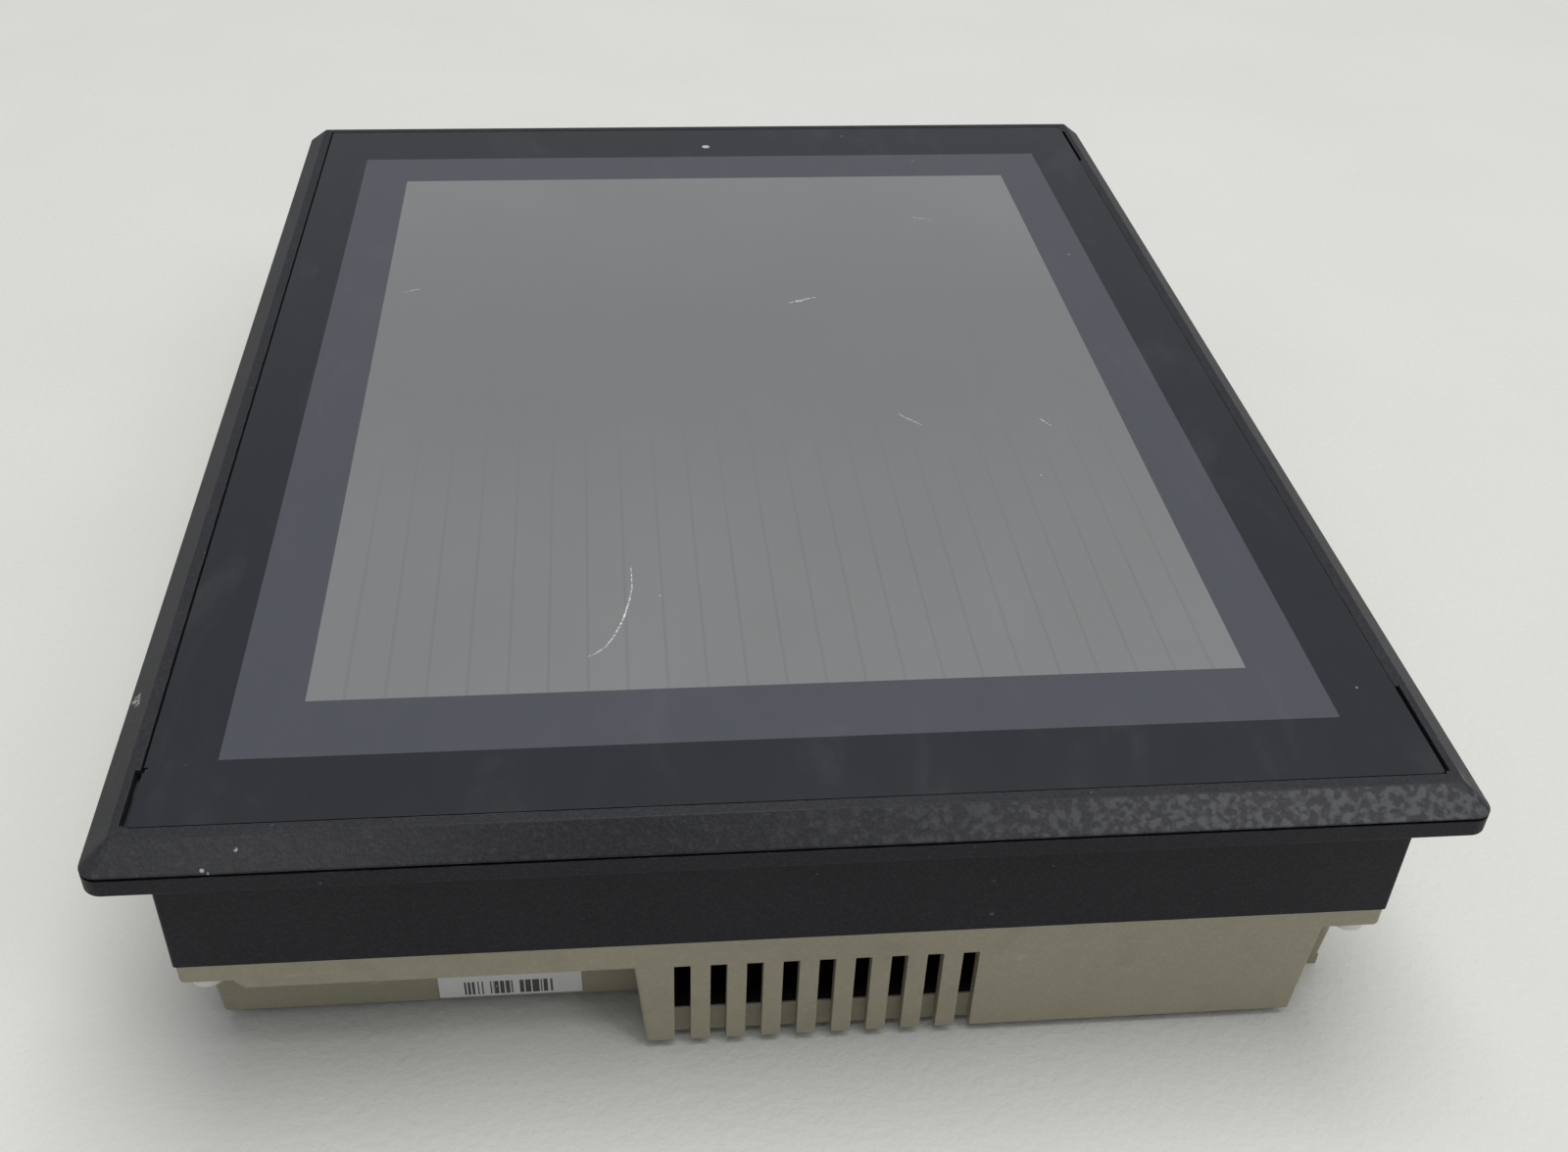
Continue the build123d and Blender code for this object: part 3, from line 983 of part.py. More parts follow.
with BuildPart() as port_jackscrews:
    for y in (PORT_A_Y, PORT_B_Y):
        for side in (-JACKSCREW_OFFSET, JACKSCREW_OFFSET):
            with BuildSketch(Plane.YZ.offset(BAY_WALL_OUTER)):
                with Locations((y + side, PORT_Z)):
                    RegularPolygon(JACKSCREW_HEAD_RADIUS, 6)
            extrude(amount=JACKSCREW_HEAD)
            rod_along_x(56.0, BAY_WALL_OUTER, y + side, PORT_Z, JACKSCREW_RADIUS)
            rod_along_x(BAY_WALL_OUTER + 0.5, BAY_WALL_OUTER + JACKSCREW_HEAD, y + side, PORT_Z,
                        JACKSCREW_THREAD, mode=Mode.SUBTRACT)
port_jackscrews.part.label = "port_jackscrews"
export_step(port_jackscrews.part, "parts/port_jackscrews.step")

with BuildPart() as ethernet_jack:
    slab(46.5, 62.6, NETWORK_Y - 8.0, NETWORK_Y + 8.0, 6.8, BOARD_BACK)
    slab(50.0, 62.6, NETWORK_Y - 5.9, NETWORK_Y + 5.9, 8.6, 15.4, mode=Mode.SUBTRACT)
    slab(50.0, 62.6, NETWORK_Y - 3.2, NETWORK_Y + 3.2, 15.4, 17.4, mode=Mode.SUBTRACT)
    slab(50.0, 62.6, NETWORK_Y - 1.6, NETWORK_Y + 1.6, 17.4, 18.6, mode=Mode.SUBTRACT)
ethernet_jack.part.label = "ethernet_jack"
export_step(ethernet_jack.part, "parts/ethernet_jack.step")

with BuildPart() as usb_host_socket:
    slab(48.0, 62.8, HOST_Y - 7.0, HOST_Y + 7.0, 13.4, BOARD_BACK)
    slab(50.5, 62.8, HOST_Y - 6.25, HOST_Y + 6.25, 14.2, 19.4, mode=Mode.SUBTRACT)
    slab(50.5, 61.5, HOST_Y - 5.5, HOST_Y + 5.5, 17.2, 19.0)
usb_host_socket.part.label = "usb_host_socket"
export_step(usb_host_socket.part, "parts/usb_host_socket.step")

with BuildPart() as usb_slave_socket:
    slab(47.0, 62.8, SLAVE_Y - 6.2, SLAVE_Y + 6.2, 9.4, BOARD_BACK)
    with BuildSketch(Plane.YZ.offset(52.0)):
        with BuildLine():
            Polyline((SLAVE_Y - 4.4, 19.0), (SLAVE_Y + 4.4, 19.0), (SLAVE_Y + 4.4, 12.6),
                     (SLAVE_Y + 2.8, 11.0), (SLAVE_Y - 2.8, 11.0), (SLAVE_Y - 4.4, 12.6), close=True)
        make_face()
    extrude(amount=12.0, mode=Mode.SUBTRACT)
    slab(52.0, 61.0, SLAVE_Y - 2.8, SLAVE_Y + 2.8, 13.4, 16.6)
usb_slave_socket.part.label = "usb_slave_socket"
export_step(usb_slave_socket.part, "parts/usb_slave_socket.step")

TERMINAL_PITCH = 8.6
TERMINAL_SCREW_X = 68.0
TERMINAL_SEAT = 12.0
terminal_places = [POWER_Y + TERMINAL_PITCH * i for i in (-1, 0, 1)]
with BuildPart() as terminal_block:
    slab(50.0, 74.0, POWER_Y - 14.2, POWER_Y + 14.2, 9.0, BOARD_BACK)
    # trough for each wire, with a barrier between poles
    for y in terminal_places:
        slab(63.0, 74.0, y - 3.6, y + 3.6, 9.0, TERMINAL_SEAT + 1.0, mode=Mode.SUBTRACT)
        post(TERMINAL_SCREW_X, y, TERMINAL_SEAT + 1.0, TERMINAL_SEAT + 6.0, 1.5, mode=Mode.SUBTRACT)
terminal_block.part.label = "terminal_block"
export_step(terminal_block.part, "parts/terminal_block.step")

with BuildPart() as terminal_screws:
    for y in terminal_places:
        # square washer, shank and slotted head
        slab(TERMINAL_SCREW_X - 3.2, TERMINAL_SCREW_X + 3.2, y - 3.2, y + 3.2,
             TERMINAL_SEAT, TERMINAL_SEAT + 1.0)
        post(TERMINAL_SCREW_X, y, TERMINAL_SEAT + 1.0, TERMINAL_SEAT + 6.0, 1.5)
        post(TERMINAL_SCREW_X, y, TERMINAL_SEAT - 2.0, TERMINAL_SEAT, 2.8)
        slab(TERMINAL_SCREW_X - 2.6, TERMINAL_SCREW_X + 2.6, y - 0.4, y + 0.4,
             TERMINAL_SEAT - 2.0, TERMINAL_SEAT - 1.0, mode=Mode.SUBTRACT)
terminal_screws.part.label = "terminal_screws"
export_step(terminal_screws.part, "parts/terminal_screws.step")

# ---------------------------------------------------------------- labels
LABEL_THICKNESS = 0.1
RATING_LABEL_X = -57.0
RATING_LABEL_WIDTH = 30.0
RATING_LABEL_LENGTH = 76.0
BARCODE_X = -39.9
BARCODE_Z = 9.5
BARCODE_WIDTH = 20.4
BARCODE_HEIGHT = 14.4
with BuildPart() as rating_label:
    with BuildSketch(Plane.XY.offset(BACK - LABEL_THICKNESS)):
        with Locations((RATING_LABEL_X, 0)):
            RectangleRounded(RATING_LABEL_WIDTH, RATING_LABEL_LENGTH, 1.0)
    extrude(amount=LABEL_THICKNESS)
rating_label.part.label = "rating_label"
export_step(rating_label.part, "parts/rating_label.step")

wall_lean = Vector(0, -(STRIP_BOTTOM - BACK), -BLOCK_DRAFT).normalized()
wall_y = -BLOCK_END + BLOCK_DRAFT * (STRIP_BOTTOM - BARCODE_Z) / (STRIP_BOTTOM - BACK)
label_plane = Plane(origin=(BARCODE_X, wall_y, BARCODE_Z), x_dir=(1, 0, 0), z_dir=wall_lean)
with BuildPart() as barcode_label:
    with BuildSketch(label_plane):
        Rectangle(BARCODE_WIDTH, BARCODE_HEIGHT)
    extrude(amount=LABEL_THICKNESS)
barcode_label.part.label = "barcode_label"
export_step(barcode_label.part, "parts/barcode_label.step")
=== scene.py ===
import json
import math

import bpy
from mathutils import Matrix, Vector

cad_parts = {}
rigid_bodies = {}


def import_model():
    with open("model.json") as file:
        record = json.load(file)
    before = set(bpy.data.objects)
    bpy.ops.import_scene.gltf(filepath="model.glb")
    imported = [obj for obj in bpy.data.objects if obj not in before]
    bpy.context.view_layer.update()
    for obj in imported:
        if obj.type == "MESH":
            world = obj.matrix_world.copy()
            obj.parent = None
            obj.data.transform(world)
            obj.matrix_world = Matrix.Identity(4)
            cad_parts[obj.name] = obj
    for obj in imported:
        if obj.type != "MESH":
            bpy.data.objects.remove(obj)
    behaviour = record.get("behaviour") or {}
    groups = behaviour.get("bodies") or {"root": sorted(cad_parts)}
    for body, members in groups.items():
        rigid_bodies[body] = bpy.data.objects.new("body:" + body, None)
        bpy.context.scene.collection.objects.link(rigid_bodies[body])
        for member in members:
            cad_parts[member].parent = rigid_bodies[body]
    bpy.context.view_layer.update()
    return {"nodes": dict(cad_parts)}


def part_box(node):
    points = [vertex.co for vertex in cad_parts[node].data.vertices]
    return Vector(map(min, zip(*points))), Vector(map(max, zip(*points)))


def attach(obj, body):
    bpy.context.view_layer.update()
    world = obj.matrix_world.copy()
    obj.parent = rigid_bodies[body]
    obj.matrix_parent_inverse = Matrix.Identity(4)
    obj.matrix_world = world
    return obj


for leftover in list(bpy.data.objects):
    bpy.data.objects.remove(leftover)
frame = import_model()
nodes = frame["nodes"]

MM = 0.001


# ---------------------------------------------------------------- node-based materials
class Look:
    """One node-based material, put together a step at a time.

    Lengths are in metres, in the frame's own axes.
    """

    BEVEL_SAMPLES = 4

    def __init__(self, name, **fixed):
        self.material = bpy.data.materials.new(name)
        self.material.use_nodes = True
        self.tree = self.material.node_tree
        self.shader = self.tree.nodes["Principled BSDF"]
        for socket, value in fixed.items():
            self.shader.inputs[socket.replace("_", " ")].default_value = value
        self.place = self.add("ShaderNodeTexCoord").outputs["Object"]
        self.x, self.y, self.z = self.add("ShaderNodeSeparateXYZ", {0: self.place}).outputs[:3]

    def plug(self, value, socket):
        if isinstance(value, bpy.types.NodeSocket):
            self.tree.links.new(value, socket)
        else:
            socket.default_value = value

    def add(self, kind, values=None, **settings):
        node = self.tree.nodes.new(kind)
        for key, value in settings.items():
            setattr(node, key, value)
        for key, value in (values or {}).items():
            self.plug(value, node.inputs[key])
        return node

    def math(self, operation, *values):
        return self.add("ShaderNodeMath", dict(enumerate(values)), operation=operation).outputs[0]

    def total(self, *values):
        result = values[0]
        for value in values[1:]:
            result = self.math("ADD", result, value)
        return result

    def times(self, *values):
        result = values[0]
        for value in values[1:]:
            result = self.math("MULTIPLY", result, value)
        return result

    def step(self, value, low, high, start=0.0, end=1.0):
        """Runs smoothly from start to end as value goes from low to high."""
        values = {"Value": value, "From Min": low, "From Max": high, "To Min": start, "To Max": end}
        return self.add("ShaderNodeMapRange", values, interpolation_type="SMOOTHSTEP").outputs[0]

    def mix(self, share, first, second):
        """The first colour, with this share of the second."""
        node = self.add("ShaderNodeMix", {0: share, 6: first, 7: second}, data_type="RGBA")
        return node.outputs[2]

    def patchy(self, cloud, share):
        """Up to this share, where a cloudy value is high."""
        return self.step(cloud, 0.3, 0.7, 0.0, share)

    def stretched(self, scale):
        values = {0: self.place, 1: scale}
        return self.add("ShaderNodeVectorMath", values, operation="MULTIPLY").outputs[0]

    def noise(self, size, detail=2.0, rough=0.5, stretch=None, distortion=0.0):
        """A cloudy value from 0 to 1, with features of this size."""
        where = self.stretched(stretch) if stretch else self.place
        values = {"Vector": where, "Scale": 1.0 / size, "Detail": detail, "Roughness": rough}
        values["Distortion"] = distortion
        return self.add("ShaderNodeTexNoise", values).outputs["Fac"]

    def specks(self, spacing, radius, share):
        """1 on dots scattered through the surface, in this share of cells of this spacing."""
        cells = self.add("ShaderNodeTexVoronoi", {"Vector": self.place, "Scale": 1.0 / spacing})
        lot = self.add("ShaderNodeSeparateColor", {0: cells.outputs["Color"]}).outputs[0]
        dot = self.step(cells.outputs["Distance"], radius / spacing, 0.5 * radius / spacing)
        return self.times(dot, self.step(lot, 1.0 - share, 1.0 - share + 0.001))

    def rectangle(self, centre, half, soft):
        """1 inside a rectangle in X and Y, with edges this soft."""
        sides = []
        for value, middle, reach in ((self.x, centre[0], half[0]), (self.y, centre[1], half[1])):
            off = self.math("ABSOLUTE", self.math("SUBTRACT", value, middle))
            sides.append(self.step(off, reach + soft, reach - soft))
        return self.times(*sides)

    def patch(self, centre, radius):
        """1 at a point, falling to 0 at this distance from it."""
        away = self.add("ShaderNodeVectorMath", {0: self.place, 1: centre}, operation="DISTANCE")
        return self.step(away.outputs["Value"], radius, 0.0)

    def edges(self, radius):
        """1 along edges, to about this distance from them."""
        rounded = self.rounded(radius)
        flat = self.add("ShaderNodeNewGeometry").outputs["Normal"]
        agree = self.add("ShaderNodeVectorMath", {0: rounded, 1: flat}, operation="DOT_PRODUCT")
        return self.step(agree.outputs["Value"], 0.99, 0.80)

    def rounded(self, radius):
        """The surface's direction, with its edges rounded off."""
        values = {"Radius": radius}
        return self.add("ShaderNodeBevel", values, samples=self.BEVEL_SAMPLES).outputs[0]

    def relief(self, height, depth, rounding=None):
        """Raises and lowers the surface by height, from 0 to 1, times this depth."""
        values = {"Strength": 1.0, "Distance": depth, "Height": height}
        if rounding:
            values["Normal"] = self.rounded(rounding)
        self.plug(self.add("ShaderNodeBump", values).outputs[0], self.shader.inputs["Normal"])

    def colour(self, value):
        self.plug(value, self.shader.inputs["Base Color"])

    def roughness(self, value):
        self.plug(value, self.shader.inputs["Roughness"])


def grey(value):
    return (value, value, value, 1.0)


def shade(colour, share):
    """The same colour, darker or lighter."""
    return tuple(min(1.0, share * c) for c in colour[:3]) + (1.0,)


def dress(look, *names):
    """Puts a material on CAD nodes, through their own material slots."""
    for name in names:
        for slot in nodes[name].material_slots:
            slot.material = look.material


def middle(low, high):
    return [(a + b) / 2 for a, b in zip(low, high)]


MOULDED_WEAR = 0.5
MOULDED_DUST = 0.3
MOULDED_ROUNDING = 0.25 * MM


def moulded(name, base, pale, rough, grain, depth, **fixed):
    """Moulded plastic: eroded grain, uneven sheen, paler worn edges and a few specks of dust."""
    look = Look(name, **fixed)
    blotch = look.noise(18 * MM, 3.0)
    fine = look.noise(grain, 3.0, 0.6)
    pits = look.noise(3.1 * grain, 2.0, 0.5)
    rubbed = look.step(look.noise(5 * MM, 4.0), 0.42, 0.68)
    wear = look.times(look.edges(0.35 * MM), rubbed, MOULDED_WEAR)
    dust = look.times(look.specks(5 * MM, 0.32 * MM, 0.5), MOULDED_DUST)
    tone = look.mix(look.patchy(blotch, 0.22), base, shade(base, 0.8))
    tone = look.mix(look.step(fine, 0.35, 0.75, 0.0, 0.12), tone, pale)
    look.colour(look.mix(look.math("MAXIMUM", wear, dust), tone, pale))
    look.roughness(look.total(rough - 0.1, look.times(blotch, 0.12), look.times(fine, 0.12)))
    relief = look.total(look.times(fine, 0.6), look.times(pits, 0.4))
    look.relief(relief, depth, MOULDED_ROUNDING)
    return look


def metal(name, base, rough, stretch=(1.0, 1.0, 1.0), stain=0.25):
    """Plated or drawn metal: fine lines one way, dull patches and a few dark stains."""
    look = Look(name, Metallic=1.0)
    lines = look.noise(0.5 * MM, 4.0, 0.6, stretch)
    cloud = look.noise(6 * MM, 3.0)
    dull = look.step(look.noise(2.2 * MM, 4.0, 0.6), 0.5, 0.75)
    tone = look.mix(look.patchy(cloud, 0.3), base, shade(base, 0.8))
    look.colour(look.mix(look.times(dull, stain), tone, shade(base, 0.45)))
    look.roughness(look.total(rough, look.times(lines, 0.15), look.times(dull, 0.2)))
    look.relief(lines, 0.006 * MM)
    return look


def rubber(name, base, rough=0.8, pore=0.4 * MM):
    look = Look(name)
    pores = look.noise(pore, 3.0, 0.6)
    bloom = look.step(look.noise(9 * MM, 4.0), 0.45, 0.7)
    tone = look.mix(look.times(bloom, 0.4), base, shade(base, 2.4))
    look.colour(look.mix(look.step(pores, 0.55, 0.7), tone, shade(base, 0.5)))
    look.roughness(look.total(rough - 0.05, look.times(bloom, 0.1)))
    look.relief(pores, 0.12 * MM)
    return look


def clear_plastic(name, base, rough, ior):
    look = Look(name, Transmission_Weight=0.92, IOR=ior)
    cloud = look.noise(8 * MM, 3.0)
    hairlines = look.noise(0.7 * MM, 3.0, 0.6, (1.0, 0.06, 1.0), 0.4)
    look.colour(look.mix(look.patchy(cloud, 0.3), base, shade(base, 0.9)))
    look.roughness(look.total(rough, look.times(hairlines, 0.1)))
    look.relief(hairlines, 0.003 * MM)
    return look


def coated_film(name, base, rough):
    """White or grey optical film with a fine dot pattern."""
    look = Look(name, Sheen_Weight=0.1)
    dots = look.specks(1.1 * MM, 0.3 * MM, 0.95)
    cloud = look.noise(30 * MM, 3.0)
    tone = look.mix(look.patchy(cloud, 0.3), base, shade(base, 0.88))
    look.colour(look.mix(look.times(dots, 0.35), tone, shade(base, 0.7)))
    look.roughness(look.total(rough, look.times(cloud, 0.1)))
    look.relief(dots, 0.01 * MM)
    return look


def stripes(look, value, pitch, share, soft=0.12):
    """1 on stripes across a coordinate, this share of each pitch wide."""
    part = look.math("FRACT", look.times(value, 1.0 / pitch))
    wave = look.math("ABSOLUTE", look.math("SUBTRACT", part, 0.5))
    return look.step(wave, 0.5 * share + soft, 0.5 * share)


def along(look, value, low, high, soft):
    """1 between low and high."""
    above = look.step(value, low - soft, low + soft)
    return look.times(above, look.step(value, high + soft, high - soft))


# ---------------------------------------------------------------- front case
CASE_BLACK = (0.0058, 0.0062, 0.0100, 1.0)
CASE_PALE = (0.085, 0.087, 0.092, 1.0)
# the bevel's colour, lighter than the rest of the case: a painted highlight
SLOPE_PAINTED_LIGHT = (0.0125, 0.0128, 0.0150, 1.0)
case_low, case_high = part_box("front_case")
SHEET_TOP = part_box("overlay_sheet")[1].z
RIM_TOP = case_high.z
SLOPE_FOOT = RIM_TOP - 3.1 * MM
# painted shade: the colour of the groove under the bevel's foot
GROOVE_PAINTED_SHADE = (0.002, 0.002, 0.0025, 1.0)
RUBBED_GREY = 0.42
CASE_SHINE = 0.38
DULLEST_X = -25 * MM
# rubbed spots on the bevel: where they are, and how far each reaches
RUBBED_SPOTS = (
    ((case_low.x + 1.0 * MM, -83.7 * MM, 46.6 * MM), 1.5 * MM),
    ((case_low.x + 1.5 * MM, -85.2 * MM, 46.9 * MM), 0.9 * MM),
    ((case_low.x + 15.0 * MM, case_low.y + 0.4 * MM, SLOPE_FOOT + 0.3 * MM), 0.45 * MM),
    ((case_low.x + 15.6 * MM, case_low.y + 0.1 * MM, SLOPE_FOOT), 0.4 * MM),
    ((case_low.x + 18.9 * MM, case_low.y + 2.2 * MM, SLOPE_FOOT + 1.8 * MM), 0.42 * MM),
    ((case_high.x - 31.0 * MM, case_low.y + 1.9 * MM, SLOPE_FOOT + 1.4 * MM), 0.3 * MM),
)


def black_case_look():
    look = Look("black_case")
    blotch = look.noise(22 * MM, 3.0)
    grain = look.noise(0.42 * MM, 3.0, 0.62)
    coarse = look.noise(1.1 * MM, 2.0, 0.5)
    glints = look.specks(0.9 * MM, 0.16 * MM, 0.30)
    slope = along(look, look.z, SLOPE_FOOT, RIM_TOP - 0.1 * MM, 0.1 * MM)
    groove_shade = along(look, look.z, SLOPE_FOOT - 0.55 * MM, SLOPE_FOOT - 0.05 * MM, 0.03 * MM)
    glint_patches = look.step(look.noise(16 * MM, 3.0, 0.5), 0.40, 0.68)
    # the near bevel is duller in its middle, shinier at both ends, and has a painted highlight of
    # pale mottling at its right end
    near = look.times(slope, look.step(look.y, case_low.y + 8 * MM, case_low.y + 5 * MM))
    right = look.times(near, look.step(look.x, DULLEST_X, 70 * MM))
    left = look.times(near, look.step(look.x, DULLEST_X, -72 * MM))
    below = look.step(look.z, SLOPE_FOOT - 0.3 * MM, SLOPE_FOOT - 0.6 * MM)
    shine = look.total(
        CASE_SHINE,
        look.times(near, -0.22),
        look.times(right, 0.30),
        look.times(left, 0.28),
        look.times(below, -0.14),
    )
    look.plug(shine, look.shader.inputs["Specular IOR Level"])
    worn = look.step(look.noise(4 * MM, 4.0), 0.44, 0.66)
    wear = look.times(look.edges(0.25 * MM), worn, 0.55)
    dusty = look.step(blotch, 0.35, 0.6)
    dust = look.times(look.specks(2.6 * MM, 0.24 * MM, 0.22), dusty, 0.8)
    lint = look.times(look.specks(7 * MM, 0.42 * MM, 0.3), 0.8)
    tone = look.mix(look.patchy(blotch, 0.3), CASE_BLACK, shade(CASE_BLACK, 0.75))
    # painted highlight: the bevel is coloured lighter than the rest of the black case
    tone = look.mix(slope, tone, SLOPE_PAINTED_LIGHT)
    # painted shade: the groove under the bevel's foot is coloured near black
    tone = look.mix(groove_shade, tone, GROOVE_PAINTED_SHADE)
    tone = look.mix(look.step(grain, 0.38, 0.72, 0.0, 0.15), tone, CASE_PALE)
    tone = look.mix(look.times(look.step(coarse, 0.55, 0.75), slope, 0.12), tone, CASE_PALE)
    # painted highlight: pale mottling in the colour towards the right end of the near bevel
    painted_highlight_right = look.times(look.step(coarse, 0.42, 0.62), right, 0.42)
    tone = look.mix(painted_highlight_right, tone, shade(CASE_PALE, 1.3))
    # painted glints: pale specks in the colour, in patches, with more of them on the bevel
    glinting = look.times(glints, look.total(0.25, look.times(slope, 0.5)), glint_patches, 0.6)
    tone = look.mix(glinting, tone, CASE_PALE)
    spots = look.total(*(look.patch(place, reach) for place, reach in RUBBED_SPOTS))
    rub = look.times(look.step(spots, 0.1, 0.5), look.step(look.noise(0.6 * MM, 2.0), 0.42, 0.55))
    marks = look.math("MAXIMUM", wear, look.math("MAXIMUM", dust, lint))
    tone = look.mix(marks, tone, CASE_PALE)
    tone = look.mix(look.times(rub, 0.75), tone, grey(RUBBED_GREY))
    look.colour(tone)
    look.roughness(look.total(0.42, look.times(blotch, 0.1), look.times(grain, 0.16)))
    relief = look.total(look.times(grain, 0.5), look.times(coarse, 0.4), look.times(glints, 0.35))
    look.relief(relief, 0.085 * MM, 0.12 * MM)
    return look


dress(black_case_look(), "front_case")

# ---------------------------------------------------------------- front sheet
film_low, film_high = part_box("touch_film")
cell_low, cell_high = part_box("lcd_glass")
PRINT_SHIFT = -0.3 * MM
WINDOW_INSET = (4.45 * MM, 2.1 * MM)
DISPLAY_INSET = (4.9 * MM, 7.55 * MM)


def inset_rectangle(low, high, inset):
    """The middle and half the size of a printed rectangle this far inside a box."""
    x, y, _ = middle(low, high)
    centre = (x + PRINT_SHIFT, y)
    half = ((high.x - low.x) / 2 - inset[0], (high.y - low.y) / 2 - inset[1])
    return centre, half


window = inset_rectangle(film_low, film_high, WINDOW_INSET)
display = inset_rectangle(cell_low, cell_high, DISPLAY_INSET)

SHEET_BLACK = (0.0085, 0.0100, 0.0150, 1.0)
SHEET_SMOKE = (0.056, 0.060, 0.073, 1.0)
SHEET_CLEAR = (0.184, 0.187, 0.190, 1.0)
PRINT_EDGE = 0.06 * MM
LINE_PITCH = 5.39 * MM
LINE_SHIFT = 2.8 * MM
DISPLAY_MIDDLE = 5 * MM
CRUMB_PLACE = (-76 * MM, -95 * MM, SHEET_TOP)
CRUMB_REACH = 6 * MM


def front_sheet_look():
    look = Look("front_sheet", Specular_IOR_Level=0.5)
    smoke = look.rectangle(*window, PRINT_EDGE)
    clear = look.rectangle(*display, PRINT_EDGE)
    cloud = look.noise(45 * MM, 3.0, 0.5)
    smear = look.noise(9 * MM, 4.0, 0.6, (1.0, 0.35, 1.0), 0.6)
    weave = look.noise(0.5 * MM, 2.0)
    # print under the sheet, and the cell seen through it
    lines = stripes(look, look.total(look.x, LINE_SHIFT), LINE_PITCH, 0.05, 0.03)
    faint = look.step(look.y, DISPLAY_MIDDLE, -70 * MM)
    off_middle = look.math("ABSOLUTE", look.math("SUBTRACT", look.y, DISPLAY_MIDDLE))
    # painted shading: the display is coloured darker in its middle and lighter towards its near and
    # far ends
    painted_dark_middle = look.step(off_middle, 75 * MM, 10 * MM)
    display_and_painted_shading = look.mix(look.times(painted_dark_middle, 0.5), SHEET_CLEAR, shade(SHEET_CLEAR, 0.74))
    display_and_painted_shading = look.mix(look.patchy(cloud, 0.4), display_and_painted_shading, shade(SHEET_CLEAR, 0.86))
    display_and_painted_shading = look.mix(look.times(lines, faint, 0.26), display_and_painted_shading, shade(SHEET_CLEAR, 0.62))
    tone = look.mix(smoke, SHEET_BLACK, SHEET_SMOKE)
    tone = look.mix(clear, tone, display_and_painted_shading)
    # finger marks, dust and rubbed spots
    tone = look.mix(look.times(look.step(smear, 0.52, 0.75), 0.03), tone, grey(0.30))
    dust = look.times(look.specks(8 * MM, 0.26 * MM, 0.4), 0.4)
    lint = look.times(look.specks(23 * MM, 0.55 * MM, 0.3), 0.75)
    crumbs = look.specks(2.2 * MM, 0.22 * MM, 0.55)
    crumbs = look.times(crumbs, look.patch(CRUMB_PLACE, CRUMB_REACH), 1.6)
    marks = look.math("MAXIMUM", dust, lint)
    marks = look.math("MAXIMUM", marks, look.math("MINIMUM", crumbs, 0.8))
    tone = look.mix(marks, tone, grey(0.55))
    look.colour(tone)
    sheen = look.total(0.25, look.times(smear, 0.10), look.times(weave, 0.04))
    look.roughness(look.total(sheen, look.times(clear, -0.03)))
    look.relief(look.total(look.times(weave, 0.15), cloud), 0.002 * MM)
    return look


dress(front_sheet_look(), "overlay_sheet")

# ---------------------------------------------------------------- rear case
CASE_BEIGE = (0.305, 0.278, 0.200, 1.0)
BEIGE_PALE = (0.60, 0.58, 0.50, 1.0)
INSIDE_PAINTED_SHADE = (0.010, 0.010, 0.010, 1.0)
BEIGE_GRIME = (0.16, 0.145, 0.115, 1.0)
BEIGE_SPECK = (0.06, 0.055, 0.05, 1.0)
SKIN = 3.15 * MM               # the back's thickness, which the painted shade inside stays above
ROOM_RIGHT = 71.5 * MM         # inner walls of the case and of its two boxes
ROOM_END = 97.5 * MM
NEAR_BOX_LEFT = -19.5 * MM
FAR_BOX_LEFT = -58.0 * MM
BOX_WALL = 2.3 * MM
MAIN_ROOM = ((-14 * MM, 0), (64.5 * MM, 98.3 * MM))
rear_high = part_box("rear_case")[1]
cover_low, cover_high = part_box("battery_cover")
dip_low, dip_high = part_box("dip_switch_body")
reset_low, reset_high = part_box("reset_button")


def middle_and_half(low, high, more=0.0):
    """The middle and half the size of a box in X and Y, with a margin."""
    half = ((high.x - low.x) / 2 + more, (high.y - low.y) / 2 + more)
    return middle(low, high)[:2], half


